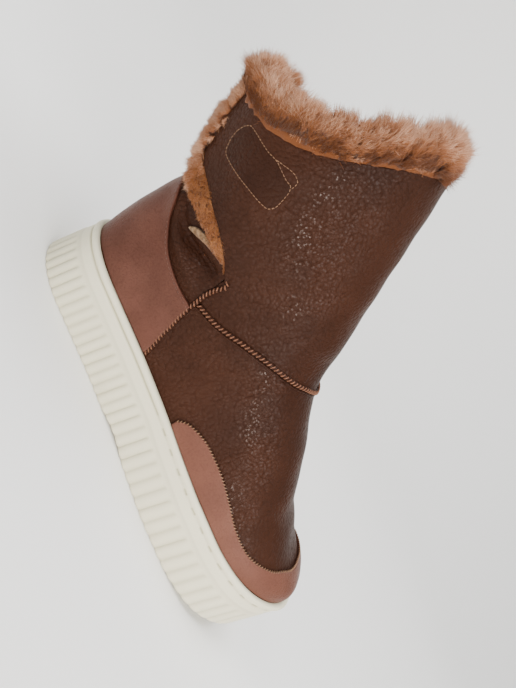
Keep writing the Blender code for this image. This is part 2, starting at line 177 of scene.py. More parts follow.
def round_ends(share):
    """1 along the middle of an outline and 0 at its ends: (1 - h^p)^(1/p) round the heel, times the same
    round the toe, where h runs from 0 to 1 over that end."""
    heel = np.clip(1 - share / HEEL_END, 0, 1)
    toe = np.clip((share - 1 + TOE_END) / TOE_END, 0, 1)
    return (1 - heel ** HEEL_SQUARE) ** (1 / HEEL_SQUARE) * (1 - toe ** TOE_SQUARE) ** (1 / TOE_SQUARE)


def spring(x):
    """Toe spring: a power curve from where the sole leaves the floor to the toe tip."""
    return SPRING_RISE * np.clip((x - SPRING_START) / (LENGTH - SPRING_START), 0, None) ** SPRING_POWER


def underside(x):
    """Height of the sole's underside: the spring plus one sine-squared hump under the waist."""
    under_arch = np.clip((x - ARCH_START) / (ARCH_END - ARCH_START), 0, 1)
    return spring(x) + ARCH_RISE * np.sin(math.pi * under_arch) ** 2


def rim(x):
    """Height of the sole's top edge: a straight rise from heel to toe, plus the spring."""
    return between((RIM_HEEL, RIM_TOE), x / LENGTH) + spring(x)


def form(theta, up):
    """A point of the form. x and z run along the ring's chord by (1 - cos theta) / 2, with a sag below it.
    The half width blends the foot's outline, narrowed upwards by (1 - rise^p)^(1/p), into an oval."""
    theta, up = np.broadcast_arrays(np.asarray(theta, float), np.asarray(up, float))
    back_x, back_z, front_x, front_z, outer, inner, shaft, follow, dip = [
        smooth(up, ring_up, column) for column in ring_columns]
    share, lateral = (1 - np.cos(theta)) / 2, np.sin(theta) >= 0
    chord_x, chord_z = front_x - back_x, front_z - back_z
    x = back_x + share * chord_x
    z = back_z + share * chord_z + follow * (spring(x) - share * spring(front_x))
    base, behind = rim(x), np.clip(crest_x[0] - x, 0, None)
    crest = np.interp(x, crest_x, crest_z) + BEHIND_SLOPE * behind + BEHIND_BEND * behind ** 2
    rise = np.clip((z - base) / np.maximum(crest - base, 1e-6), 0, 1)
    square = between((INSTEP_SECTION, TOE_SECTION), np.clip((x - crest_x[0]) / SECTION_LENGTH, 0, 1))
    along = np.clip((x - back_x) / (crest_x[-1] - back_x), 0, 1)
    outline = np.where(lateral, *[smooth(along, plan_share, side) for side in (plan_lateral, plan_medial)])
    foot = (outline - UPPER_INSET) * round_ends(along) * (1 - rise ** square) ** (1 / square)
    oval = (1 - np.abs(2 * share - 1) ** SHAFT_SECTION) ** (1 / SHAFT_SECTION)
    half = between((foot, oval * np.where(lateral, outer, inner)), shaft)
    sag = dip * DIP_SCALE * share * (1 - share) ** 2 / np.hypot(chord_x, chord_z)
    return np.stack([x + sag * chord_z, np.where(lateral, -half, half), z - sag * chord_x], -1)


def directions(theta, up):
    """Outward normal, and the tangent that climbs: differences of the form over a small step each way."""
    up = np.clip(up, 0, 1)
    climb = form(theta, np.clip(up + STEP, 0, 1)) - form(theta, np.clip(up - STEP, 0, 1))
    return unit(np.cross(form(theta + STEP, up) - form(theta - STEP, up), climb)), unit(climb)


# %% [markdown]
# ## Creases
# Soft leather over wool never lies as smooth as a form. Each crease is placed along a short line on
# the form: a trough where the number is negative and a ridge where it is positive. Its height falls off with
# the distance from the line as a bell curve, and fades to nothing at its ends. Every layer reads the same
# creases, so the panels, their seams and the wool move together.

# %% Creases on the form
CREASES = (  # width, height, and the angle and up of each point
    (9.0, -0.8, ((122, .600), (150, .585), (180, .580), (215, .590), (240, .610))),  # fold over the instep
    (8.0, 0.5, ((118, .650), (150, .632), (180, .626), (215, .640))),
    (9.0, -1.3, ((84, .545), (98, .590), (112, .640), (124, .720))),  # from the foot of the slit
    (10.0, 1.0, ((92, .520), (108, .565), (126, .610))),
    (16.0, -1.8, ((34, .940), (40, .850), (48, .760), (56, .690))),  # hollow down the back of the flap
    (18.0, 1.4, ((66, .960), (74, .860), (82, .740))),
    (20.0, -1.5, ((100, .970), (106, .850), (112, .740))),
    (6.0, -0.7, ((112, .330), (135, .350), (160, .362), (180, .366), (205, .360), (235, .345))),  # vamp
    (6.5, -0.5, ((118, .270), (140, .285), (165, .296), (195, .296), (230, .280))),
    (7.0, 0.4, ((112, .300), (140, .318), (180, .330), (220, .316))),
    (5.0, 3.9, ((69, .402), (63, .4), (57, .405), (52, .414), (46, .42), (39, .446), (32, .495), (22, .57))),
    (2.8, -6.1, ((77, .503), (74, .494), (69, .487), (63, .477), (58, .468), (52, .46), (42, .472),
                 (33, .53))),
    (3.0, -1.4, ((66, .382), (56, .384), (46, .398), (36, .450), (22, .540))),
    (1.6, 1.3, ((75, .496), (72.5, .480), (70.5, .466))),  # puckers at the foot of the slit
    (1.6, 1.2, ((73, .468), (71.5, .455), (69.5, .440))),
    (1.6, 1.0, ((78, .512), (76, .506), (74, .500))),
    (6.0, -2.2, ((-14, .600), (0, .590), (14, .605))),  # slack of the back panel
    (6.0, -2.2, ((-66, .420), (-50, .460), (-32, .540), (-16, .600))),
    (7.0, 1.6, ((-70, .480), (-52, .520), (-34, .590))),
    (14.0, -2.0, ((-40, .920), (-46, .800), (-56, .680))),
    (15.0, -1.6, ((238, .940), (232, .820), (228, .700))),
    (9.0, -1.3, ((84, .150), (96, .250), (112, .300))),  # side of the vamp
    (9.0, -1.1, ((272, .150), (262, .250), (246, .300))),
)
LINE_POINTS = 40
ABOVE_EDGE = 160.0  # mm that one unit of up counts for beyond the collar


def line_on_form(knots):
    """Points along a curve through (angle, up) knots."""
    angle, up = trace(knots, np.linspace(0, 1, LINE_POINTS))
    return form(np.radians(angle), up)


crease_lines = [(line_on_form(knots), width, height) for width, height, knots in CREASES]


def softness(points):
    """Height of the creases at each point: for each line height * exp(-(distance / width)²) * sin(pi t)^0.6,
    with t along the line, plus slow waves for the give of the wool."""
    flat = points.reshape(-1, 3)
    total = np.zeros(len(flat))
    for line, width, height in crease_lines:
        middle = line.mean(0)
        reach = np.linalg.norm(line - middle, axis=1).max() + 3 * width
        near = np.flatnonzero(np.linalg.norm(flat - middle, axis=1) < reach)
        gap = np.linalg.norm(flat[near, None] - line, axis=2)
        fade = np.sin(math.pi * (gap.argmin(1) + 0.5) / LINE_POINTS) ** 0.6
        total[near] += height * fade * np.exp(-(gap.min(1) / width) ** 2)
    x, y, z = flat.T
    shaft = ease(z, 60, 120)
    total += (0.25 + 0.45 * shaft) * np.sin(x / 13 + z / 17 + 1.3) * np.sin(y / 15 - z / 21 + 0.4)
    total += (0.10 + 0.12 * shaft) * np.sin(x / 5.3 - z / 6.7 + 2.0 + y / 9)
    return total.reshape(points.shape[:-1])


def carried(angle, up):
    """Base point and outward normal; past the collar, where up is over 1, the form runs straight on."""
    normal, climb = directions(np.radians(angle), up)
    return moved(form(np.radians(angle), up), climb, ABOVE_EDGE * np.clip(up - 1, 0, None)), normal


def skin(angle, up, lift=0.0):
    """A point of the leather: the form moved along its normal by the creases and by lift."""
    base, normal = carried(angle, up)
    return moved(base, normal, softness(base) + lift)


# %% [markdown]
# ## From arrays to meshes
# All shapes below are numpy arrays until their last line. One function hands them to Blender: it sets the
# points, faces and named values in whole arrays, shades the piece smooth, says which body carries it and
# which finish it takes, and hides the solids that it stands for. Named values, such as how near a cut edge
# is, stay on the mesh, where a material can read them.

# %% Make a piece
DARK, RED, WOOL = "dark_leather", "red_leather", "wool"  # finishes that the solids name
made = []


def linked(name, data):
    """New object in the scene that shows this mesh, lamp or camera."""
    item = bpy.data.objects.new(name, data)
    bpy.context.scene.collection.objects.link(item)
    return item


def piece(name, points, faces, finish, slot, replaced=(), **values):
    """Mesh from points in millimetres and arrays of faces. Each of values is one number for every point."""
    place = ((points.reshape(-1, 3) - ORIGIN) * MM).astype(np.float32)
    corners = np.concatenate([group.ravel() for group in faces]).astype(np.int32)
    sizes = np.concatenate([np.full(len(group), group.shape[1]) for group in faces])
    mesh = bpy.data.meshes.new(name)
    mesh.vertices.add(len(place))
    mesh.vertices.foreach_set("co", place.ravel())
    mesh.loops.add(len(corners))
    mesh.loops.foreach_set("vertex_index", corners)
    mesh.polygons.add(len(sizes))
    mesh.polygons.foreach_set("loop_start", (np.cumsum(sizes) - sizes).astype(np.int32))
    mesh.update(calc_edges=True)
    mesh.shade_smooth()
    for key, value in values.items():
        data = mesh.attributes.new(key, "FLOAT", "POINT").data
        data.foreach_set("value", np.broadcast_to(np.ravel(value), len(place)).astype(np.float32))
    mesh.materials.append(finish)
    item = linked(name, mesh)
    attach(item, "root")
    if replaced:
        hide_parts(*replaced)
    made.append(int((sizes - 2).sum()))
    print(f"{name}: {made[-1]} triangles")
    return item


def numbered(grid):
    """Point numbers of a grid of points."""
    return np.arange(grid.size // 3).reshape(grid.shape[:-1])


def quads(index, around=False, over=False):
    """Quads between neighbours in a grid of point numbers, facing out where theta runs right and up climbs.
    around joins its last column to the first, and over its last row to the first."""
    if around:
        index = np.concatenate([index, index[:, :1]], 1)
    if over:
        index = np.concatenate([index, index[:1]])
    return np.stack([index[:-1, :-1], index[:-1, 1:], index[1:, 1:], index[1:, :-1]], -1).reshape(-1, 4)


def bridged_rings(grid):
    """Faces of a grid of closed rings. The first and the last ring are bridged straight across, from each
    column to its twin on the other side, with a triangle at either end."""
    columns = grid.shape[1]
    half, last_row = columns // 2, (len(grid) - 1) * columns
    near = np.arange(1, half - 1)
    bridge = np.stack([near, columns - near, columns - near - 1, near + 1], -1)
    ends = np.array([(0, columns - 1, 1), (half, half - 1, half + 1)])
    return [quads(numbered(grid), around=True)] + [
        group for cap in (bridge, ends) for group in (cap, cap[:, ::-1] + last_row)]


# %% [markdown]
# ## Shader arithmetic
# A finish is easier to read as a sum than as a web of nodes. A small class wraps one output socket: adding,
# taking away, multiplying and raising to a power each add a Math node, and one method makes any other node
# from its type, its settings and its inputs. Colours are given from 0 to 255, as a screen shows them.

# %% Wrap a socket
def arithmetic(operation, reflected=False):
    """A method that adds one Math node, with the socket's own value second where it is reflected."""
    def method(self, other):
        pair = (other, self) if reflected else (self, other)
        return self.node("ShaderNodeMath", {"operation": operation}, dict(enumerate(pair)))
    return method


def linear(colour):
    """Light values of a screen colour."""
    c = np.array(colour) / 255
    return tuple(float(v) for v in np.where(c <= 0.04045, c / 12.92, ((c + 0.055) / 1.055) ** 2.4))


class Socket:
    """One output of a node; arithmetic on it adds Math nodes to the same tree."""

    def __init__(self, tree, output=None):
        self.tree, self.output = tree, output

    def node(self, kind, settings=(), inputs=(), out=0):
        """Add a node: its settings first, then values or links for its sockets, by name or number."""
        new = self.tree.nodes.new(kind)
        for key, value in dict(settings).items():
            setattr(new, key, value)
        for key, value in dict(inputs).items():
            if isinstance(value, Socket):
                self.tree.links.new(value.output, new.inputs[key])
            else:
                new.inputs[key].default_value = value
        return Socket(self.tree, new.outputs[out])

    __add__ = __radd__ = arithmetic("ADD")
    __sub__, __rsub__ = arithmetic("SUBTRACT"), arithmetic("SUBTRACT", reflected=True)
    __mul__ = __rmul__ = arithmetic("MULTIPLY")
    __pow__ = arithmetic("POWER")

    def ease(self, low, high):
        """0 below low and 1 above high, S-shaped between."""
        return self.node("ShaderNodeMapRange", {"interpolation_type": "SMOOTHSTEP"},
                         {"Value": self, "From Min": low, "From Max": high})

    def blend(self, first, second):
        """Mix two colours by this value."""
        pair = [c if isinstance(c, Socket) else (*linear(c), 1.0) for c in (first, second)]
        return self.node("ShaderNodeMix", {"data_type": "RGBA"}, {0: self, 6: pair[0], 7: pair[1]}, out=2)


def new_finish(name, **fixed):
    """Material with one Principled shader and its fixed values. Returns it, the shader and a Socket to
    build on, which gives the object's own coordinates in metres."""
    material = bpy.data.materials.new(name)
    material.use_nodes = True
    shader = material.node_tree.nodes["Principled BSDF"]
    for key, value in fixed.items():
        shader.inputs[key.replace("_", " ")].default_value = value
    place = Socket(material.node_tree).node("ShaderNodeTexCoord", out=3)
    return material, shader, place


def connect(shader, **sources):
    """Link sources to the shader's sockets of these names."""
    for key, source in sources.items():
        source.tree.links.new(source.output, shader.inputs[key.replace("_", " ")])


def noise(place, scale, detail=3.0, rough=0.5, out=0):
    """Soft random value from 0 to 1, or for out 1 a random colour; scale is in waves per metre."""
    return place.node("ShaderNodeTexNoise", {}, {"Vector": place, "Scale": scale, "Detail": detail,
                                                 "Roughness": rough}, out)


def cells(place, scale):
    """Distance from the nearest of many scattered points; scale is in points per metre."""
    return place.node("ShaderNodeTexVoronoi", {}, {"Vector": place, "Scale": scale})


def value_of(place, name):
    """A named value that the mesh carries."""
    return place.node("ShaderNodeAttribute", {"attribute_name": name}, out=2)


def bump(height, distance):
    """Bump node over a height that counts 1 as distance metres."""
    return height.node("ShaderNodeBump", {}, {"Strength": 1.0, "Distance": distance, "Height": height})


# %% [markdown]
# ## Leather
# Chrome-tanned leather shows pebbles about two millimetres across, with finer wrinkles inside them. They are
# too small for the mesh, so they are bump: one less the squared distance from the nearest of many scattered
# points makes each pebble a low dome. The tops are a little shinier, and the colour carries painted light and
# shade: a little lighter on the tops, darker in the hollows. It is tan where the knife cut through it.

# %% Leather finishes
def leather(name, colour, light, dark, cut, pebbles, grain_height, roughness, polish):
    """Leather from a middle, a light and a dark colour, and that of its cut edge. pebbles is their number
    per metre, polish how much of a clear coat their tops wear."""
    finish, shader, place = new_finish("leather_" + name, Specular_IOR_Level=0.06, Coat_Roughness=0.24)
    warp = noise(place, pebbles / 4, 1.0, out=1)
    bent = place.node("ShaderNodeMix", {"data_type": "VECTOR"}, {0: 0.0022, 4: place, 5: warp}, out=1)
    pebble, fine = 1 - cells(bent, pebbles) ** 2 * 1.8, cells(bent, pebbles * 2.7) ** 2
    patchy, tone = noise(place, 42).ease(0.34, 0.72), noise(place, 13)
    # The pebble term paints the tops a little lighter and the hollows darker: painted light and shade.
    base = (patchy * 0.22 + pebble * 0.12).blend(tone.ease(0.30, 0.74).blend(dark, colour), light)
    connect(shader, Base_Color=value_of(place, "cut_edge").ease(0.45, 0.80).blend(base, cut),
            Roughness=patchy * -0.08 + tone * 0.14 - pebble * 0.08 + roughness,
            Coat_Weight=(pebble - fine * 0.4).ease(0.66, 0.94) * polish,
            Normal=bump(pebble * (patchy * 0.5 + 0.6) - fine * 0.3 + noise(place, 190) * 0.7, grain_height))
    return finish


leather_dark = leather("dark", (50, 28, 18), (65, 38, 26), (39, 21, 13), (150, 104, 72), 500, 36e-5, .45, .20)
leather_red = leather("red", (86, 54, 44), (112, 75, 63), (67, 41, 33), (64, 36, 27), 900, 12e-5, .42, .04)
# The same red leather painted lighter for the toe band: painted light on the toe.
leather_red_lit = leather("toe", (95, 61, 50), (122, 82, 68), (76, 48, 39), (70, 41, 31), 900, 12e-5, .42, .04)
leather_patch = leather("patch", (44, 24, 15), (54, 31, 20), (35, 19, 12), (44, 24, 15), 500, 34e-5, .48, .06)

# %% [markdown]
# ## Rubber, thread and wool
# The sole is matt foamed rubber, creamy white, with painted shade in the valleys between its ribs and in its
# groove. Thread is waxed and twisted. Wool is the hard one: it is darker at its roots, where little light
# gets in, and pale at its tips, and no two locks have quite the same shade, so each lock carries its own two
# numbers.

# %% Rubber, thread and wool finishes
rubber, shader, place = new_finish("rubber_cream", Specular_IOR_Level=0.35)
smudge = noise(place, 28, 5, 0.65).ease(0.52, 0.8) * value_of(place, "near_floor") * 0.5
# The value read here darkens the cream in the rib valleys, the stitched groove and the tread bars: painted
# shade.
cream = (value_of(place, "valley") * 0.75).blend((213, 207, 181), (158, 152, 122))
connect(shader, Base_Color=smudge.blend(cream, (176, 168, 146)), Roughness=noise(place, 240) * 0.16 + 0.44,
        Normal=bump(noise(place, 900) + noise(place, 120) * 1.5, 0.00012))


def waxed_thread(name, colour, dark):
    """Thread with its twist: fine bands across it, with painted shade between them where the bump is low."""
    finish, shader, place = new_finish(name, Specular_IOR_Level=0.4)
    twist = noise(place, 1500, 2)
    connect(shader, Base_Color=twist.ease(0.3, 0.65).blend(dark, colour), Roughness=twist * 0.2 + 0.45,
            Normal=bump(twist, 0.0002))
    return finish


thread_tan = waxed_thread("thread_tan", (120, 76, 50), (72, 42, 28))
thread_pale = waxed_thread("thread_pale", (142, 108, 80), (100, 70, 48))
thread_dark = waxed_thread("thread_dark", (88, 52, 38), (52, 30, 22))


def wool_finish(name, root, middle, tip):
    """Wool from its root, middle and tip colours: 'tip' on the mesh runs from 0 to 1 along a lock, and
    'tone' is the lock's own random shade, plus the painted shade that some locks are given."""
    finish, shader, place = new_finish(name, Specular_IOR_Level=0.15, Roughness=0.9, Sheen_Weight=0.12,
                                       Sheen_Roughness=0.5)
    along = value_of(place, "tip") + (value_of(place, "tone") - 0.5) * 0.6 + (noise(place, 45) - 0.5) * 0.5
    connect(shader, Base_Color=along.ease(0.5, 1.15).blend(along.ease(0.0, 0.55).blend(root, middle), tip),
            Normal=bump(noise(place, 1400, 2), 0.0003))
    return finish


wool = wool_finish("wool_ginger", (98, 55, 27), (154, 95, 57), (226, 178, 144))
wool_tan = wool_finish("wool_tan", (86, 48, 22), (132, 79, 40), (168, 114, 70))

suede_pale, shader, place = new_finish("suede_pale", Specular_IOR_Level=0.1, Roughness=0.85, Sheen_Weight=0.1)
forward = place.node("ShaderNodeSeparateXYZ", {}, {0: place}, out=0)
faded = (forward + (noise(place, 90) - 0.5) * 0.02).ease(-0.020, 0.004)
nap = noise(place, 600, 4).ease(0.25, 0.75)
connect(shader, Base_Color=faded.blend(nap.blend((92, 70, 48), (136, 112, 84)),
                                       nap.blend((82, 47, 26), (112, 68, 40))), Normal=bump(nap, 0.0006))

# %% [markdown]
# ## The cup sole
# A cup sole is one rubber moulding: a ribbed wall with a plain band, a stitched groove and a rounded lip, a
# floor inside and a tread below. It is one closed grid here. Rings of points run round its outline, and the
# rows climb from the middle of the tread, out to the edge, up the wall, over the lip and down to the inner
# floor. Each rib is a capsule in the plane of the wall: a bar with a round head, whose height is that of a
# circle, sqrt(1 - (d / r)²).

# %% The sole's outline
HALF_COLUMNS, PLAN_POINTS = 520, 4001
RIB_PITCH = ((0, 6.2), (90, 6.4), (170, 8.4), (270, 8.8))  # x, and mm from rib to rib there


def side_line(width, sign):
    """One side of the outline from heel to toe in even steps: points, outward directions, distance run, pitch
    of the ribs and their count, the integral of 1 / pitch scaled to end on a whole rib."""
    share = (1 - np.cos(np.linspace(0, math.pi, PLAN_POINTS))) / 2
    line = np.stack([share * LENGTH, sign * smooth(share, plan_share, width) * round_ends(share)], -1)
    run = run_along(line)
    at = np.linspace(0, run[-1], HALF_COLUMNS + 1)
    points = pick(line, run, at)
    tangent = unit(np.gradient(points, axis=0))
    outward = np.stack([tangent[:, 1], -tangent[:, 0]], -1) * -sign
    outward[0], outward[-1] = (-1, 0), (1, 0)
    pitch = through(RIB_PITCH, points[:, 0])
    count = np.insert(np.cumsum(np.diff(at) / pitch[1:]), 0, 0)
    return points, outward, at, pitch, count * round(count[-1]) / count[-1]


outline, outward, run, pitch, phase = [np.concatenate([there, back[-2:0:-1]]) for there, back
                                       in zip(side_line(plan_lateral, -1), side_line(plan_medial, 1))]
print(f"outline: {run.max():.0f} mm a side, {phase.max():.0f} ribs a side")

# %% The sole's wall, tread and floor
RIB_DEPTH, RIB_RADIUS = 1.6, 0.53  # in mm, and in pitches
RIB_HEAD = 0.58  # height of the heads' centres as a share of the wall
BAND_OUT, LIP_OUT, LIP_DROP = -0.55, 0.05, 1.5
GROOVE_AT, GROOVE_WIDTH, GROOVE_DEPTH = 0.875, 0.605, 0.9
SLOT_PITCH, SLOT_SHARE, SLOT_FILL = 12.5, 0.36, 0.72  # stitch slots along the groove at the forefoot
EDGE_ROUND = 1.5  # of the bottom edge
WALL_ROWS = (0, .01, .03, .06, .12, .2, .28, .36, .44, .5, .54, RIB_HEAD, .615, .65, .68, .71, .75, .8, .838,
             .852, .866, GROOVE_AT, .884, .898, .912, .93, .95, .968, .982, .993, 1)
TREAD_ROWS = (.03, .15, .3, .45, .58, .66, .7, .74, .78, .82, .86, .92, .97)
TREAD_INSET, TREAD_FRAME = 2.2, 9.0
BAR_PITCH, BAR_GAP, BAR_DEPTH, BAR_RUNS = 12.0, 4.0, 2.4, ((13.0, 99.0), (151.0, 212.0))
LIP_ROWS = ((2.4, 0.0), (3.6, 0.0), (4.3, 0.35), (4.45, 1.2), (4.55, 8.0))  # inset, and drop from the rim
FLOOR_INSET, FLOOR_UP, FLOOR_SCALES = 5.95, 15.4, (1, 0.6, 0.03)

x = outline[:, 0]
share = np.array(WALL_ROWS)[:, None]
height = rim(x) - underside(x)
above = np.clip(share - RIB_HEAD, 0, None) * height
reach = np.hypot(np.abs(phase % 1.0 - 0.5) * pitch, above) / (RIB_RADIUS * pitch)
carved = (np.sqrt(np.clip(1 - reach ** 2, 0, 1)) - 1) * RIB_DEPTH
band = BAND_OUT * np.where(share > RIB_HEAD, ease(share, RIB_HEAD - 0.02, RIB_HEAD + 0.12), 1)
ribs = np.where(share < RIB_HEAD, carved, np.maximum(carved, band))
ribs = ribs * (1 - 0.75 * ease(x, LENGTH - 14, LENGTH - 2))
lip = (LIP_OUT - BAND_OUT) * ease(share, 0.895, 0.93) - LIP_DROP * np.clip((share - 0.95) / 0.05, 0, 1) ** 2.2
slot = ease(x, 108, 128) * (run / SLOT_PITCH % 1.0 > SLOT_SHARE)
groove = -GROOVE_DEPTH * np.exp(-((share - GROOVE_AT) * height / GROOVE_WIDTH) ** 2) * (1 - SLOT_FILL * slot)
turned = 1 - np.clip(share * height / EDGE_ROUND, 0, 1)
wall_xy = outline + outward * (ribs + lip + groove - EDGE_ROUND * (1 - np.sqrt(1 - turned ** 2)))[..., None]
low = underside(wall_xy[..., 0])
wall = np.concatenate([wall_xy, (low + share * (rim(wall_xy[..., 0]) - low))[..., None]], -1)

scale = np.array(TREAD_ROWS)[:, None]
edge_x, edge_y = (outline - outward * TREAD_INSET).T
twin = -np.arange(len(x)) % len(x)  # the column across the foot; both meet on its middle line
tread_x = scale * edge_x + (1 - scale) * (edge_x + edge_x[twin]) / 2
bars = 0
for first, last in BAR_RUNS:
    to_gap = np.abs((tread_x - first + BAR_PITCH / 2) % BAR_PITCH - BAR_PITCH / 2)
    in_run = (tread_x > first - BAR_GAP) & (tread_x < last + BAR_GAP)
    bars = bars + in_run * ease(BAR_GAP / 2 + 0.5 - to_gap, 0.0, 1.0)
bars = bars * ease(np.abs(edge_y) * (1 - scale), TREAD_FRAME - 3.0, TREAD_FRAME)
tread = np.stack([tread_x, scale * edge_y, underside(tread_x) + BAR_DEPTH * bars], -1)

lips = [(outline - outward * inset, rim, -drop) for inset, drop in LIP_ROWS]
floors = [((outline - outward * FLOOR_INSET) * (1, narrow), spring, FLOOR_UP) for narrow in FLOOR_SCALES]
inner = np.array([np.column_stack([xy, level(xy[:, 0]) + up]) for xy, level, up in lips + floors])
grid = np.concatenate([tread, wall, inner])
# How deep each point lies in a rib valley or the groove, and the tread's bars, for painted shade.
valley = np.clip(-ribs / RIB_DEPTH, 0, 1) * (share < 0.7) + 1.2 * np.clip(-groove, 0, 1)
sole = piece("sole_rubber", grid, bridged_rings(grid), rubber, "sole_rubber", ("sole",),
             valley=np.concatenate([bars, valley, np.zeros(inner.shape[:2])]),
             near_floor=1 - ease(grid[..., 2] - spring(grid[..., 0]), 2.0, 14.0))
sole.data.set_sharp_from_angle(angle=math.radians(50))

# %% [markdown]
# ## Leather panels
# A panel is cut from a hide a little under two millimetres thick and its cut edges soften with wear. Each one
# here is a closed sheet: an outer grid on the skin, an inner grid one thickness below, and a rim between
# them. Near a cut edge the outer grid drops by a quarter circle, r - sqrt(r² - (r - d)²), where d is the
# distance to the edge, so rows are set close together there and wide apart elsewhere.

# %% Panel helper
EDGE_STEPS = np.array([0.0, 0.3, 0.7, 1.2, 2.0])
EDGE_FADE = 0.45  # mm over which the tan of a cut edge dies away
LEATHER = 1.8  # thickness of a panel
EDGE_RADIUS = 0.55  # of a cut edge, in thicknesses


def shares(length, step):
    """Positions from 0 to 1 along a side of this length: close at both ends, one step apart between."""
    near = EDGE_STEPS / length
    middle = np.linspace(near[-1], 1 - near[-1], max(3, round(length / step)))
    return np.concatenate([near[:-1], middle, 1 - near[-2::-1]])


def even_angles(start, end, up, step):
    """Angles in degrees from start to end whose points on the ring at up are one step apart."""
    dense = np.linspace(start, end, 2000)
    run = run_along(form(np.radians(dense), up))
    return np.interp(shares(run[-1], step) * run[-1], run, dense)


def panel(name, angle, up, lift, borders, finish, slot, replaced=(), thickness=LEATHER):
    """Closed leather sheet over a grid of angles (degrees) and ups, its outer face at lift above the skin.
    borders names the cut edges."""
    angle, up, lift = np.broadcast_arrays(angle, up, lift)
    base, normal = carried(angle, up)
    level = softness(base) + lift
    surface = moved(base, normal, level)
    rows, cols = run_along(surface), run_along(surface, axis=1)
    ways = {"foot": rows, "top": rows[-1:] - rows, "start": cols, "end": cols[:, -1:] - cols}
    near = np.min([ways[border] for border in borders], axis=0)
    radius = thickness * EDGE_RADIUS
    drop = radius - np.sqrt(radius ** 2 - (radius - np.minimum(near, radius)) ** 2)
    sheet = np.array([moved(base, normal, level - depth) for depth in (drop, thickness)])
    index = numbered(base)
    border = np.concatenate([index[0], index[1:, -1], index[-1, -2::-1], index[-2:0:-1, 0]])
    after = np.roll(border, -1)
    rim_faces = np.stack([after, border, border + angle.size, after + angle.size], -1)
    piece(name, sheet, [quads(index), quads(index)[:, ::-1] + angle.size, rim_faces], finish, slot, replaced,
          cut_edge=[np.exp(-near / EDGE_FADE), np.full(near.shape, 0.45)])


# %% [markdown]
# ## Lines of the pattern
# The maker's pattern is a few lines on the form, each given as angle and height. The vamp is sewn to the leg
# along a line that rises from the heel counter over the instep. On the outer side the front of the leg runs
# on backwards as a flap, which laps over the back panel and closes it, with a slit below.

# %% Pattern lines
SLIT_ANGLE, SLIT_UP = 80.7, 0.517  # foot of the slit
VAMP_TOP = ((58, .335), (66, .345), (69.6, .366), (72.3, .402), (81, .425), (99, .476), (120, .509),
            (140, .525), (160, .535), (172, .534), (180, .532))
SIDE_SEAM = ((66.9, .104), (65.8, .190), (67.4, .290), (69.6, .366), (74.2, .449), (SLIT_ANGLE, SLIT_UP))
SLIT_HOOK = ((74.2, .449), (78.4, .484), (81.8, .505), (83.2, .516), (83.2, .527))
INNER_SEAM = ((-72.3, .402), (-78, .470), (-83, .560), (-86, .700), (-88, 1.0))
COUNTER_TOP = ((0, .545), (16, .535), (30, .490), (40, .415), (50, .365), (60, .355), (70, .368))
COUNTER_FRONT = ((66.5, .104), (65.8, .190), (67.4, .290), (69.8, .368))
TOE_BAND_TOP = ((87, .122), (89, .152), (92, .178), (100, .213), (108, .221), (115, .207), (122, .186),
                (130, .179), (145, .209), (160, .240), (180, .250))
FLAP_FOOT = ((20, .752), (22.5, .728), (27, .704), (33, .692), (40, .681), (50, .657), (60, .630), (69, .598),
             (75, .564), (SLIT_ANGLE, SLIT_UP))
FLAP_REAR = ((23.5, .70), (22.5, .745), (24.0, .84), (22.8, .916), (21.0, 1.0))
FLAP_START, FLAP_HEIGHT, FLAP_SLOPE = 20.0, 5.3, 0.62


def at_angle(line, angle):
    """Height of a pattern line at an angle, the same on both sides of the boot."""
    return through(line, 180 - np.abs(angle - 180))


def flap_lift(angle, up):
    """How far the flap stands off: its own thickness at the free edge, sinking to nothing towards the front
    and towards the foot of the slit, both as S-shaped steps."""
    seam = at_angle(VAMP_TOP, np.maximum(angle, 66))
    sinking = (1 - FLAP_SLOPE * np.clip((angle - 9) / 121, 0, 1)) * (1 - ease(angle, 88, 135))
    return FLAP_HEIGHT * sinking * ease(up, seam + 0.01, seam + 0.19)


# %% Vamp
VAMP_FOOT, SEAM_GAP = 0.05, 0.003  # up where it begins, inside the sole, and what it leaves to the seam
angle = even_angles(58, 302, 0.22, 2.2)
up = between((VAMP_FOOT, at_angle(VAMP_TOP, angle) - SEAM_GAP), shares(135, 2.2)[:, None])
panel("vamp", angle, up, 0.0, ("top",), leather_dark, DARK, ("upper",))

# %% Back panel
BACK_FOOT, BACK_LIFT = 0.34, -0.15
up = between((BACK_FOOT, 1.0), shares(88, 1.5)[:, None])
outer = np.where(up < SLIT_UP, through(swapped(SIDE_SEAM), up), SLIT_ANGLE + 6 * ease(up, SLIT_UP, 0.6))
angle = between((through(swapped(INNER_SEAM), up), outer), shares(190, 1.5))
panel("back_panel", angle, up, BACK_LIFT, ("top", "end"), leather_dark, DARK)

# %% Front of the leg with its flap
TURN_ANGLE, BEND_ANGLE, LAST_ANGLE = 84.5, 200.0, 271.5
FLAP_FACE = 0.1  # mm of the flap's face above its own lift


def to_inner_seam(angle, up):
    """Angles past BEND_ANGLE spread so that the last column lies on the inner seam at every height."""
    spread = (through(swapped(INNER_SEAM), up) + 360 - BEND_ANGLE) / (LAST_ANGLE - BEND_ANGLE)
    return np.where(angle > BEND_ANGLE, BEND_ANGLE + (angle - BEND_ANGLE) * spread, angle)


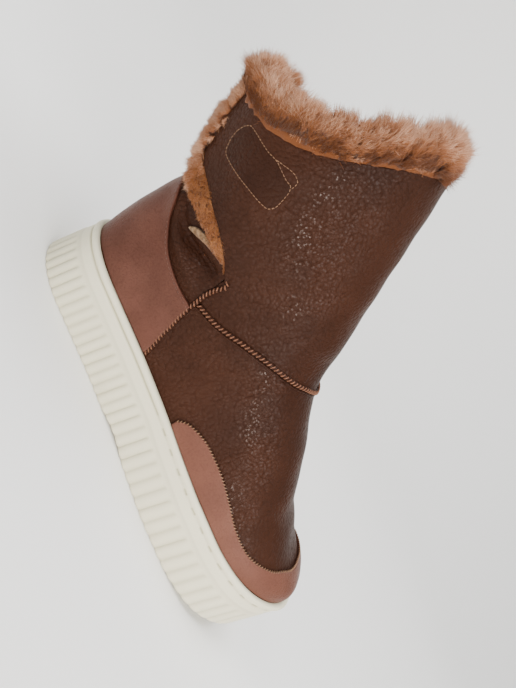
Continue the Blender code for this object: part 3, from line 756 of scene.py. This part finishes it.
angle = np.concatenate([even_angles(FLAP_START, SLIT_ANGLE, 0.8, 2.0),
                        even_angles(SLIT_ANGLE + 0.2, TURN_ANGLE, 0.5, 0.8)[1:],
                        even_angles(TURN_ANGLE, LAST_ANGLE, 0.7, 2.0)[1:]])
foot = np.where(angle <= SLIT_ANGLE, through(FLAP_FOOT, angle), at_angle(VAMP_TOP, np.maximum(angle, 72)))
for _ in range(3):  # the foot line and the spread depend on each other
    foot = np.where(angle > BEND_ANGLE, at_angle(VAMP_TOP, to_inner_seam(angle, foot)), foot)
turning = between((SLIT_UP, at_angle(VAMP_TOP, TURN_ANGLE)), ease(angle, SLIT_ANGLE, TURN_ANGLE))
foot = np.where((angle > SLIT_ANGLE) & (angle < TURN_ANGLE), turning, foot)
collar_line = 1.008 + 0.036 * (1 - ease(angle, 31, 46))  # with the flap's square corner above it
up = between((foot, collar_line), shares(110, 2.0)[:, None])
shift = (through(swapped(FLAP_REAR), up) - FLAP_START) * (1 - ease(angle, FLAP_START, 50))
angle = to_inner_seam(angle + shift, up)
panel("front_panel", angle, up, flap_lift(angle, up) + FLAP_FACE, ("top", "start", "foot"), leather_dark,
      DARK, ("closure_flap",))

# %% Corner between the seams
angle = between((72, 92), shares(18, 1.2))
low = at_angle(VAMP_TOP, angle)
high = np.maximum(np.minimum(through(SIDE_SEAM[3:], angle), 0.56), low + 0.01)
up = between((low, high), shares(40, 1.2)[:, None])
panel("slit_corner", angle, up, flap_lift(angle, up) - 0.1, ("start",), leather_dark, DARK)

# %% Heel counter and toe band
OVERLAY, OVERLAY_FOOT, COUNTER_RISE = 2.0, 0.104, 0.264  # mm above the skin, and ups
FREE_EDGES = ("top", "start", "end")
rise = shares(62, 1.8)[:, None]
front = through(swapped(COUNTER_FRONT), OVERLAY_FOOT + rise * COUNTER_RISE)
angle = front * between((-1, 1), shares(190, 1.8))
up = between((OVERLAY_FOOT, through(COUNTER_TOP, np.abs(angle))), rise)
panel("heel_counter_leather", angle, up, OVERLAY, FREE_EDGES, leather_red, RED, ("heel_counter",))
# The toe band wears the lighter copy of the red leather, which is painted light.
angle = even_angles(87, 273, 0.16, 1.8)
up = between((OVERLAY_FOOT - 0.001, at_angle(TOE_BAND_TOP, angle)), shares(22, 1.3)[:, None])
panel("toe_band_leather", angle, up, OVERLAY, FREE_EDGES, leather_red_lit, RED, ("toe_band",))

# %% [markdown]
# ## Thin bodies, many at once
# Stitches, cords and locks of wool are all the same kind of shape: a thin body along a short path, pointed at
# both ends. One function makes any number of them in one mesh. At each station of a path it sets a ring of
# points, path + radius * (cos a * side + sin a * over), where side and over are square to the path.

# %% Thin bodies
def spindles(name, bodies, sides, finish, slot, **values):
    """bodies is paths (bodies, stations, 3), radii (bodies, stations) and a direction that each faces. values
    give one number per body; 'tip' runs from 0 to 1 along each."""
    paths, radii, facing = bodies
    count, stations = paths.shape[:2]
    tangent = np.gradient(paths, axis=1)
    side = unit(np.cross(tangent, facing))
    over = unit(np.cross(side, tangent))
    turn = np.arange(sides)[:, None] * TURN / sides
    ring = np.cos(turn) * side[:, 1:-1, None] + np.sin(turn) * over[:, 1:-1, None]
    ring = paths[:, 1:-1, None] + radii[:, 1:-1, None, None] * ring
    body = np.concatenate([paths[:, :1], ring.reshape(count, -1, 3), paths[:, -1:]], 1)
    size = body.shape[1]
    number = np.arange(1, size - 1).reshape(stations - 2, sides)
    after = np.roll(number, -1, 1)
    ends = np.concatenate([np.stack([0 * number[0], number[0], after[0]], -1),
                           np.stack([0 * number[0] + size - 1, after[-1], number[-1]], -1)])
    walls = np.stack([after[:-1], number[:-1], number[1:], after[1:]], -1).reshape(-1, 4)
    first = (np.arange(count) * size)[:, None, None]
    tip = np.concatenate([[0], np.repeat(np.linspace(0, 1, stations)[1:-1], sides), [1]])
    piece(name, body, [(first + ends).reshape(-1, 3), (first + walls).reshape(-1, 4)], finish, slot,
          tip=np.tile(tip, count), **{key: np.repeat(value, size) for key, value in values.items()})


SEAM_STEP = 0.25  # mm between the points of a seam line


def seam_line(knots, lift):
    """Even points along a seam on the skin, with its direction, the outward normal and the distance run. lift
    is a number or a function of angle and up."""
    angle, up = trace(knots, np.linspace(0, 1, 60 * len(knots)))
    points = skin(angle, up, lift(angle, up) if callable(lift) else lift)
    run = run_along(points)
    even = np.linspace(0, run[-1], max(4, round(run[-1] / SEAM_STEP)))
    points = pick(points, run, even)
    normal = directions(np.radians(np.interp(even, run, angle)), np.interp(even, run, up))[0]
    return points, unit(np.gradient(points, axis=0)), normal, even


def thread(paths, s, power, radius, outward):
    """Stitches over these paths: full in the middle and thin at the ends, with radius * sqrt(1 - s^power)."""
    taper = np.sqrt(np.clip(1 - s ** power, 0, 1)) * radius
    return paths, np.broadcast_to(taper, paths.shape[:2]), outward[:, None]


def stitches(line, pitch, across, along, rise, radius, stations=7, swing=0.0):
    """Stitches that cross a line: each runs from -across to +across and slants by along, over an arch of
    rise * sqrt(1 - s²), with its ends sunk in the leather. swing turns every other one the other way."""
    points, tangent, normal, run = line
    at = np.arange(pitch / 2, run[-1], pitch)
    forward, outward = unit(pick(tangent, run, at)), unit(pick(normal, run, at))
    s = np.linspace(-1, 1, stations)
    flip = np.where(np.arange(len(at)) % 2 == 0, 1.0, 1.0 - 2 * swing)[:, None]
    arch = rise * np.sqrt(1 - (0.96 * s) ** 2) - 0.35 * np.abs(s) ** 6
    paths = pick(points, run, at)[:, None]
    sideways = np.cross(outward, forward)
    for way, distance in ((sideways, across * s), (forward, along * s * flip), (outward, arch)):
        paths = moved(paths, way[:, None], distance)
    return thread(paths, s, 8, radius, outward)


def running(line, pitch, gap, rise, radius):
    """Stitches that lie along a line, each one pitch long less a gap."""
    points, _, normal, run = line
    at, s = np.arange(pitch / 2, run[-1], pitch), np.linspace(-1, 1, 6)
    outward = unit(pick(normal, run, at))
    paths = pick(points, run, at[:, None] + s * (pitch - gap) / 2)
    return thread(moved(paths, outward[:, None], rise * (1 - np.abs(s) ** 3) - 0.1), s, 6, radius, outward)


def joined(*groups):
    """Several groups of bodies as one."""
    return [np.concatenate(parts) for parts in zip(*groups)]


def ridge(name, line, radius, sink=0.0, sides=8, beside=0.0):
    """One long leather body under a seam or beside it, with its ends rounded off."""
    points, tangent, normal, run = line
    thin = np.clip(np.minimum(run, run[-1] - run) / (2 * radius), 0, 1)
    path = points - normal * sink - beside * unit(np.cross(normal, tangent))
    body = path, np.sqrt(1 - (1 - thin) ** 2) * radius, normal
    spindles(name, [part[None, ::4] for part in body], sides, leather_dark, DARK, cut_edge=[0.0])


# %% [markdown]
# ## Rope seams
# The thick seams of a sheepskin boot are sewn with heavy cord over the raised edges of two butted panels.
# Each is a low leather ridge with slanting stitches close together over it, so that it reads as a rope. The
# same stitch, smaller, edges the toe band, and plain running stitches hold the counter and the tab of the
# closure on the flap.

# %% Rope seams
def mirrored(line, around=360):
    """The same line on the other side of the boot, from its end to its start."""
    return [(around - angle, up) for angle, up in line[::-1]]


top_line = seam_line(VAMP_TOP[3:] + tuple(mirrored(VAMP_TOP[3:-1])), 0.3)
slit_line = seam_line(SIDE_SEAM[3:4] + SLIT_HOOK, lambda angle, up: flap_lift(angle, up) * 0.8 + 0.6)
side_low = seam_line(SIDE_SEAM[:4], 0.8)
inner_line = seam_line([(360 + angle, up) for angle, up in INNER_SEAM], 0.4)
inner_low = seam_line(mirrored(SIDE_SEAM[:4], 0)[::-1], 0.8)
for number, (line, radius, sink) in enumerate((
        (top_line, 1.5, 0.2), (slit_line, 1.4, 0.2), (side_low, 1.1, 0.2), (inner_line, 1.2, 0.3),
        (inner_low, 1.1, 0.2))):
    ridge(f"seam_ridge_{number + 1}", line, radius, sink)
ridge("seam_welt", top_line, 0.6, sides=6, beside=2.5)
rope = [stitches(line, 2.6, 1.45, 1.0, 1.6, 0.46) for line in (top_line, slit_line)]
rope += [stitches(line, 2.5, 1.3, 0.95, 1.25, 0.42) for line in (side_low, inner_low)]
spindles("rope_stitches", joined(*rope), 6, thread_tan, DARK)
spindles("zigzag_stitches", stitches(inner_line, 2.6, 3.6, 1.1, 1.0, 0.55, swing=1.0), 6, thread_tan, DARK)

# %% Fine stitches
band_line = seam_line(TOE_BAND_TOP + tuple(mirrored(TOE_BAND_TOP[:-1])), 0.9)
spindles("toe_band_stitches", stitches(band_line, 2.1, 0.85, 0.6, 0.95, 0.30, 6), 5, thread_pale, RED)
counter_edge = [(angle, up - .012) for angle, up in mirrored(COUNTER_TOP[1:], 0) + list(COUNTER_TOP)]
counter_line = seam_line(counter_edge, OVERLAY)
spindles("counter_stitches", running(counter_line, 3.0, 0.8, 0.2, 0.3), 5, thread_dark, RED)

# tab of the closure: a rounded rectangle and a small triangle beside it, in thin pale thread
TAB = ((40.4, .9), (43.2, .944), (47, .964), (52.5, .96), (64.5, .938), (70.5, .93), (80.2, .892), (84, .88),
       (85, .858), (84.2, .812), (83.2, .798), (80.2, .784), (76.5, .785), (66.5, .793), (55.2, .796),
       (44.8, .8), (41.5, .816), (40.2, .865), (40.4, .9))
TAB_TRIANGLE = ((70.5, .932), (79.5, .925), (83.4, .914), (85.6, .896), (84.9, .872))


def tab_lift(angle, up):
    """Height of the thread on the flap."""
    return flap_lift(angle, up) + FLAP_FACE


tab_rows = [running(seam_line(line, tab_lift), 2.2, 0.3, 0.2, 0.2) for line in (TAB, TAB_TRIANGLE)]
spindles("tab_stitches", joined(*tab_rows), 5, thread_pale, DARK)

# %% Patch of the closure
PATCH_RINGS, PATCH_POINTS = (0.03, 0.25, 0.5, 0.75, 0.9, 0.97, 1.0), 96
PATCH_HEIGHT, PATCH_BELOW = 0.16, -0.5
patch_line = np.stack(trace(TAB, np.arange(PATCH_POINTS) / PATCH_POINTS), -1)
ring, middle = np.array(PATCH_RINGS)[:, None, None], patch_line.mean(0)
angle, up = np.moveaxis(middle + ring * (patch_line - middle), -1, 0)
level, dome = tab_lift(angle, up), PATCH_HEIGHT * np.sqrt(1 - ring[..., 0] ** 8)
grid = np.concatenate([skin(angle, up, level + dome), skin(angle, up, level + PATCH_BELOW)[::-1]])
index = numbered(grid)
caps = [index[0][None, ::-1], index[-1][None]]
piece("tab_patch", grid, [quads(index, around=True), *caps], leather_patch, DARK, cut_edge=0.0)

# %% [markdown]
# ## Wool
# Sheepskin wool grows in locks. Fibres that start close together lean the same way and meet at their tips,
# so the surface breaks up into soft tufts about a centimetre across. Two things make it here: a lumpy body
# underneath, which nothing shows through, and many thousands of thin locks on it. Each lock takes its
# nearest tuft's lean, bends towards that tuft's tip and waves a little on the way.

# %% Wool helpers
DENSITY = 2.6  # locks per square millimetre, for the number of tufts
GATHER = (0.05, 0.45)  # how far a lock's tip is drawn to the tip of its tuft
STATIONS = 3  # along a lock


def lumps(points, size, seed):
    """A field of soft bumps, mostly from -1 to 1: twice the mean of nine sine waves in random directions,
    each with a wavelength near size in mm."""
    rng = np.random.default_rng(seed)
    waves = unit(rng.normal(size=(9, 3))) * (TURN / (size * rng.uniform(0.7, 1.4, (9, 1))))
    return np.sin(points @ waves.T + rng.uniform(0, TURN, 9)).mean(-1) * 2.0


def locks(name, roots, outward, length, seed, finish, shade=0.0, tuft=6.5, lean=0.24, width=(0.14, 0.27),
          jitter=0.22):
    """Wool locks from root points and outward directions. Each follows the curve (1-t)² root + 2t(1-t) knee
    + t² tip, plus a wave across it, and leans to the tip of the nearest tuft. Below 0, shade darkens it; on
    the collar this is painted shade towards the leather."""
    rng = np.random.default_rng(seed)
    count = len(roots)
    length = length * rng.uniform(0.6, 1.15, count) * (1 + 0.22 * lumps(roots, 17.0, seed))
    middle = rng.choice(count, max(3, int(count / DENSITY / tuft ** 2)), replace=False)
    home = np.concatenate([np.linalg.norm(part[:, None] - roots[middle], axis=2).argmin(1)
                           for part in np.array_split(roots, 1 + count // 2000)])
    tuft_lean = rng.normal(0, lean, (len(middle), 3))
    way = unit(outward + tuft_lean[home] + rng.normal(0, jitter, (count, 3)))
    reach = length[middle] * rng.uniform(0.75, 1.05, len(middle))
    tuft_tip = moved(roots[middle], unit(outward[middle] + tuft_lean), reach)
    tip = between((moved(roots, way, length), tuft_tip[home]), rng.uniform(*GATHER, (count, 1)))
    knee = moved(roots, unit(outward + 0.4 * tuft_lean[home]), length / 2)
    t = np.linspace(0, 1, STATIONS)
    across = unit(np.cross(way, rng.normal(size=(count, 3))))
    swing = np.sin(t * rng.uniform(4, 9, (count, 1)) + rng.uniform(0, 6.3, (count, 1))) * t
    weights = zip((roots, knee, tip), ((1 - t) ** 2, 2 * t * (1 - t), t ** 2))
    paths = moved(sum(part[:, None] * weight[:, None] for part, weight in weights), across[:, None], swing)
    radii = rng.uniform(*width, (count, 1)) * np.linspace(1.0, 0.45, STATIONS)
    tone = 0.5 + shade + rng.normal(0, 0.16, len(middle))[home] + rng.normal(0, 0.14, count)
    spindles(name, (paths, radii, across[:, None]), 3, finish, WOOL, tone=tone)


def scatter(function, range_u, range_v, count, seed):
    """Random points on a surface given as a function of two arrays, spread evenly over its area. Returns the
    two arrays, each within its range."""
    rng = np.random.default_rng(seed)
    u, v = rng.random((2, count * 3))
    here, right, above = [function(between(range_u, u + step_u), between(range_v, v + step_v))
                          for step_u, step_v in ((0, 0), (STEP, 0), (0, STEP))]
    area = np.linalg.norm(np.cross(right - here, above - here), axis=1)
    keep = np.flatnonzero(rng.random(count * 3) < area / np.quantile(area, 0.98))[:count]
    return between(range_u, u[keep]), between(range_v, v[keep])


# %% [markdown]
# ## The collar
# The wool of the collar folds over the leather's cut edge. Its body is a roll carried round the collar's
# edge: a closed section, given as distances out from the leather and up from its edge, set into the normal
# and the tangent of the skin there.

# %% Collar roll
ROLL = ((-1.3, -.8), (0, .9), (1, 5), (.8, 10.5), (-1.8, 15.6), (-6, 16.2), (-9.6, 10.5), (-10, 3),
        (-7.8, -3.5), (-4, -5), (-1.3, -.8))  # out and up of each point of the section
ROLL_RADIUS = 6.0  # about its middle
FRONT_ANGLE, FRONT_REACH = 172.0, 42.0  # where the wool stands tallest, and how far round that goes
FRONT_TUCK = 3.5  # mm that it leans in there


def collar_frame(theta):
    """Edge of the leather at the collar, its outward direction and the direction the wool stands in."""
    angle = np.degrees(theta) % 360
    normal, climb = directions(theta, 1.0)
    base = form(theta, 1.0)
    lift = flap_lift(np.maximum(angle, 6), 1.0) * (angle < 140) * ease(angle, 0, 6)
    return moved(base, normal, softness(base) + lift), normal, climb


def tallness(theta):
    """1 at the front of the collar and 0 away from it, as a bell curve."""
    return np.exp(-((np.degrees(theta) % 360 - FRONT_ANGLE) / FRONT_REACH) ** 2)


def collar_roll(u, v, swell=0.0):
    """Point of the roll: u goes once round the boot and v once round the section, plus swell outwards."""
    edge, normal, climb = collar_frame(u * TURN)
    out, high = [centre + (value - centre) * (1 + swell / ROLL_RADIUS)
                 for value, centre in zip(trace(ROLL, v % 1.0), np.mean(ROLL[:-1], axis=0))]
    tall = tallness(u * TURN)
    out, high = out - FRONT_TUCK * tall * ease(high, 0, 6), high * (1 + 0.1 * tall * (high > 0))
    return moved(moved(edge, normal, out), climb, high)


u, v = np.meshgrid(np.arange(360) / 360, np.arange(36) / 36)
body = collar_roll(u, v)
body = collar_roll(u, v, 0.75 * lumps(body, 9.0, 5) + 0.4 * lumps(body, 4.5, 6))
cut_line = 1 - ease(v, 0.05, 0.12)  # the pale line of the skin along the leather's edge
piece("collar_wool", body, [quads(numbered(body), True, True)], wool, WOOL, ("wool_collar",),
      tip=0.7 * cut_line, tone=0.2 + 0.2 * cut_line)

# %% Collar locks
# The shade at the leather is painted shade: the outer locks darken towards the leather's edge.
COLLAR_LOCKS = (  # name, number, part of the section, length, climb, shade at the leather, seed
    ("collar_locks_edge", 5500, (-0.07, 0.11), 6.5, 2.6, -1.0, 20),
    ("collar_locks_outer", 29000, (-0.02, 0.34), 13.2, 1.6, -2.2, 21),
    ("collar_locks_top", 29000, (0.30, 0.58), 16.5, 0.9, 0.0, 22),
    ("collar_locks_inner", 12000, (0.56, 0.86), 9.0, 0.3, 0.0, 23),
)
for name, count, part, long, rise, shade, seed in COLLAR_LOCKS:
    u, v = scatter(collar_roll, (0, 1), part, count, seed)
    theta, share = u * TURN, (v - part[0]) / (part[1] - part[0])
    here = collar_roll(u, v)
    forward, onward = collar_roll(u + STEP, v) - here, collar_roll(u, v + STEP) - here
    tall, beside = tallness(theta), ease(np.abs(np.sin(theta)), 0.6, 1.0)
    climb = (rise + 1.6 * tall + 0.5 * beside)[:, None] * collar_frame(theta)[2]
    way = unit(np.cross(forward, onward)) + climb + 0.2 * unit(forward) * np.sin(theta)[:, None]
    # Each lock is darkened by shade towards the leather's side of its group: painted shade.
    long = long * (0.7 + 0.35 * share) * (1 + 0.1 * tall)
    locks(name, collar_roll(u, v, -0.8), unit(way), long, seed, wool, shade * (1 - share) ** 1.5)

# %% [markdown]
# ## Wool along the flap
# The flap is sheepskin too, so its wool shows past the cut edge of the leather, from the foot of the slit
# round the rear corner and up to the collar. One body is stretched between two lines: one just under the
# leather's edge, and the free line where the wool ends. Its section between them is an oval. Below, the locks
# are pressed flat and combed along the edge; at the rear they stand out. The back panel ends under them in a
# pale suede edge.

# %% Flap wool
STRIP = (  # edge angle, edge up, free angle, free up, free lift, half thickness
    (79.6, .524, 78, .525, .6, .5), (76, .557, 75, .543, .9, .9), (71.5, .584, 70.5, .545, 1.3, 1.3),
    (65.5, .61, 64.5, .547, 1.6, 1.6), (58.5, .633, 57.5, .552, 1.9, 1.9), (51.5, .653, 50.5, .556, 2.2, 2.1),
    (44.5, .67, 44, .562, 2.6, 2.2), (38, .684, 37, .558, 2.8, 2.3), (31, .697, 28.5, .59, 3, 2.4),
    (26, .706, 19.5, .65, 3.4, 2.6), (23.5, .735, 14, .712, 4, 2.7), (23.5, .79, 11.5, .782, 4.4, 2.7),
    (24, .85, 11, .846, 4.6, 2.7), (23, .92, 11, .916, 4.6, 2.7), (21.5, .98, 11.5, .98, 4.6, 2.7),
    (21.5, 1.03, 12.5, 1.04, 4.4, 2.4),
)
UNDER = 2.4  # how far below the flap's outer face the wool begins
OVAL = 1.06  # its half width, in halves of the way from line to line
strip_share = np.linspace(0, 1, 300)
edge_angle, edge_up, free_angle, free_up, free_lift, half_thick = trace(STRIP, strip_share)
edge_line = skin(edge_angle, edge_up, flap_lift(edge_angle, edge_up) - UNDER)
free_line = skin(free_angle, free_up, free_lift)
strip_out = directions(np.radians((edge_angle + free_angle) / 2), (edge_up + free_up) / 2)[0]


def flap_strip(u, v, swell=0.0):
    """Point of the strip: middle + half * cos + outward * thickness * sin. u runs from the slit to the collar
    and v once round the section, from the free line over the outside to the flap and back below."""
    edge, free, out = [pick(line, strip_share, u) for line in (edge_line, free_line, strip_out)]
    thick = np.interp(u, strip_share, half_thick) + swell
    half, turn = (free - edge) / 2, (v * TURN)[..., None]
    wide = half * OVAL + unit(half) * np.expand_dims(swell, -1)
    return (free + edge) / 2 + wide * np.cos(turn) + out * thick[..., None] * np.sin(turn)


u, v = np.meshgrid(np.linspace(0, 1, 220), np.arange(20) / 20)
body = flap_strip(u, v, 0.5 * lumps(flap_strip(u, v), 7.0, 31))
index = numbered(body)
caps = [index[::-1, 0][None], index[:, -1][None]]
piece("flap_wool", body, [quads(index, over=True)[:, ::-1], *caps], wool_tan, WOOL, tip=0.1, tone=0.5)
FLAP_LOCKS = (  # name, number, part of the strip, finish, length, shade, lean, jitter, seed
    ("flap_locks_foot", 5200, (0.0, 0.60), wool_tan, 5.0, -0.05, 0.15, 0.15, 33),
    ("flap_locks_rear", 7600, (0.52, 1.0), wool, 7.0, 0.1, 0.35, 0.30, 34),
)
for name, count, part, finish, long, shade, lean, jitter, seed in FLAP_LOCKS:
    u, v = scatter(flap_strip, part, (-0.06, 0.44), count, seed)
    free_way = unit(pick(free_line - edge_line, strip_share, u))
    along = unit(pick(free_line, strip_share, u + STEP) - pick(free_line, strip_share, u - STEP))
    out, turn = pick(strip_out, strip_share, u), (v * TURN)[:, None]
    radial = out * np.sin(turn) + free_way * np.cos(turn)
    standing, corner = ease(u, 0.50, 0.68)[:, None], ease(u, 0.86, 0.98)[:, None]
    raised = radial + free_way * 0.3 + out * 0.3 + along * 1.1 * corner
    way = unit((radial * 0.4 - along * 0.9) * (1 - standing) + raised * standing)
    locks(name, flap_strip(u, v, -0.7), way, long * (0.35 + 0.65 * ease(u, 0, 0.15)), seed, finish, shade,
          tuft=6.0, lean=lean, jitter=jitter)

# %% Suede edge of the back panel
SUEDE = ((49.5, .481, .490), (53.0, .491, .512), (58.0, .504, .530), (63.0, .517, .541), (68.0, .526, .547),
         (72.0, .531, .548), (75.5, .534, .545))  # angle, lower up and upper up
SUEDE_LIFT, SUEDE_RISE = 0.9, 1.3  # of its edges above the skin, and of its rolled middle above them
knot_angle, lower, upper = np.array(SUEDE).T
angle = between(knot_angle[[0, -1]], shares(40, 0.9))
across = shares(6, 0.6)[:, None]
up = between([smooth(angle, knot_angle, edge) for edge in (lower, upper)], across)
panel("back_panel_edge", angle, up, SUEDE_LIFT + SUEDE_RISE * np.sqrt(1 - (2 * across - 1) ** 2),
      ("foot", "top", "start", "end"), suede_pale, DARK, thickness=1.2)

# %% [markdown]
# ## Lining and footbed
# Inside, the same wool lines the leg and the foot. It is pressed flat and lumpy, so it is one closed wall
# between the leather and the inner face of the boot, with locks only where daylight reaches it. The footbed
# is a wool-covered sock laid on the sole's inner floor.

# %% Lining
WALL_FOOT, WALL_SHAFT = 5.0, 9.0  # from the skin to the inner face
LOCK_ROOT = 7.5  # from the skin to the roots of the locks
round_boot = np.arange(180) * TURN / 180
theta, up = np.meshgrid(round_boot, np.linspace(0.004, 0.985, 54))
base, normal = form(theta, up), directions(theta, up)[0]
deep = between((WALL_FOOT, WALL_SHAFT), np.clip((up - 0.2) / 0.4, 0, 1))
deep = deep - 1.3 * lumps(base, 13.0, 41) - 0.7 * lumps(base, 6.0, 42)
outer, inner = [moved(base, normal, softness(base) - depth) for depth in (LEATHER + 0.3, deep)]
lining = np.concatenate([outer, inner[::-1]])
piece("wool_lining", lining, [quads(numbered(lining), True, True)], wool, WOOL, tip=0.35, tone=0.5)


def lining_point(u, up):
    """Root of a lock in the lining's wall, u round the boot."""
    return moved(form(u * TURN, up), directions(u * TURN, up)[0], -LOCK_ROOT)


u, up = scatter(lining_point, (0, 1), (0.55, 0.98), 9000, 43)
normal, climb = directions(u * TURN, up)
locks("lining_locks", lining_point(u, up), unit(0.5 * climb - normal), 7.5, 44, wool, tuft=6.0,
      width=(0.22, 0.4))

# %% Footbed
FOOTBED = 8.5  # its thickness
SOCK_ROWS = ((.04, .8), (.12, .2), (.3, 0), (.5, 0), (.7, 0), (.9, 0), (.985, 0))  # share of the way in, drop
rim_line = form(round_boot, 0.0) - unit(directions(round_boot, 0.0)[0] * (1, 1, 0)) * (WALL_FOOT + 0.7)
centre_line = rim_line * (1, 0, 1) + (0, 1.5, 0)


def sock_row(share, height, rough=0.0):
    """One ring of the footbed, this share of the way in from its rim to its centre line."""
    row = between((rim_line, centre_line), share)
    return row + (height + rough * lumps(row, 9.0, 51))[:, None] * (0, 0, 1)


grid = np.array([sock_row(share, 0.1) for share in (0.985, 0.5, 0.0)] + [sock_row(0.0, FOOTBED - 2.5)]
                + [sock_row(share, FOOTBED - drop, 0.8) for share, drop in SOCK_ROWS])
piece("footbed_wool", grid, bridged_rings(grid), wool, WOOL, ("insole",), tip=0.4, tone=0.5)

# %% [markdown]
# ## Floor, light and camera
# The boot stands on a sheet of pale paper that curves up behind it, as in a small studio, so there is
# no horizon. Three large soft lamps, a small one for the glints and a pale surround light it. The camera
# looks slightly down at the outer side and is rolled, so that the toe points down in the picture; it is given
# as a place, a point to look at, a roll and a focal length.

# %% Floor
BEND_AT, BEND_RADIUS, FLOOR_REACH, FLOOR_TOP = 0.75, 0.7, 9.0, 3.2  # in metres
floor_finish, shader, place = new_finish("floor_paper", Roughness=0.7)
connect(shader, Base_Color=noise(place, 3, 2).blend((243, 242, 239), (247, 246, 244)))
turn = np.linspace(0, TURN / 4, 24)
back = np.array([-FLOOR_REACH, *(BEND_AT + BEND_RADIUS * np.sin(turn)), BEND_AT + BEND_RADIUS])[:, None]
high = np.array([0, *(BEND_RADIUS * (1 - np.cos(turn))), FLOOR_TOP])[:, None]
floor_grid = np.stack(np.broadcast_arrays(np.linspace(-FLOOR_REACH, FLOOR_REACH, 4), back, high), -1)
floor_mesh = bpy.data.meshes.new("floor")
floor_mesh.from_pydata(floor_grid.reshape(-1, 3).tolist(), [], quads(numbered(floor_grid)).tolist())
floor_mesh.shade_smooth()
floor_mesh.materials.append(floor_finish)
floor = linked("floor", floor_mesh)

# %% Light
def aimed(item, place, aim, roll=0.0):
    """Put a lamp or a camera at place, turned towards aim and rolled by degrees about its own axis."""
    item.location = place
    turned = (Vector(aim) - Vector(place)).to_track_quat("-Z", "Y").to_matrix().to_4x4()
    item.rotation_euler = (turned @ Matrix.Rotation(math.radians(roll), 4, "Z")).to_euler()


def soft_light(name, place, aim, size, watts, spread=180, colour=(1.0, 1.0, 1.0)):
    """Square area light at place, turned towards aim. spread is the angle of its beam in degrees."""
    lamp = bpy.data.lights.new(name, "AREA")
    lamp.size, lamp.energy, lamp.spread, lamp.color = size, watts, math.radians(spread), colour
    item = linked(name, lamp)
    item.visible_camera = False
    aimed(item, place, aim)


soft_light("key", (-1.1, -0.8, 1.1), (0.05, 0, 0.1), 0.55, 14)
soft_light("fill", (0.9, -1.3, 0.6), (0.12, 0, 0.06), 1.2, 34)
soft_light("top", (0.1, 0.1, 1.6), (0.05, 0, 0.1), 1.4, 34)
soft_light("spark", (0.48, -0.95, 0.12), (0.10, 0, 0.11), 0.2, 0.42, 40, (1.0, 0.87, 0.76))
world = bpy.data.worlds.new("studio")
bpy.context.scene.world = world
world.use_nodes = True
surround = world.node_tree.nodes["Background"].inputs
surround["Color"].default_value, surround["Strength"].default_value = (1.0, 1.0, 1.0, 1.0), 0.42

# %% Camera
CAMERA_PLACE, CAMERA_AIM = (0.0015, -0.4610, 0.2193), (0.0610, 0.0013, 0.0949)
CAMERA_ROLL, LENS, FRAME_WIDTH = 69.7, 41.0, 36.0  # degrees, mm, mm
lens = bpy.data.cameras.new("camera")
lens.lens, lens.sensor_width, lens.sensor_fit, lens.clip_start = LENS, FRAME_WIDTH, "AUTO", 0.01
camera = linked("camera", lens)
aimed(camera, CAMERA_PLACE, CAMERA_AIM, CAMERA_ROLL)
bpy.context.scene.camera = camera
print("camera:", CAMERA_PLACE, "aimed at", CAMERA_AIM)

# %% [markdown]
# ## Triangles
# The last cell prints how many triangles the pieces make in all. Wool may stand a little proud of its
# solid, and nothing else may.

# %% Triangles
print("triangles in all:", sum(made))
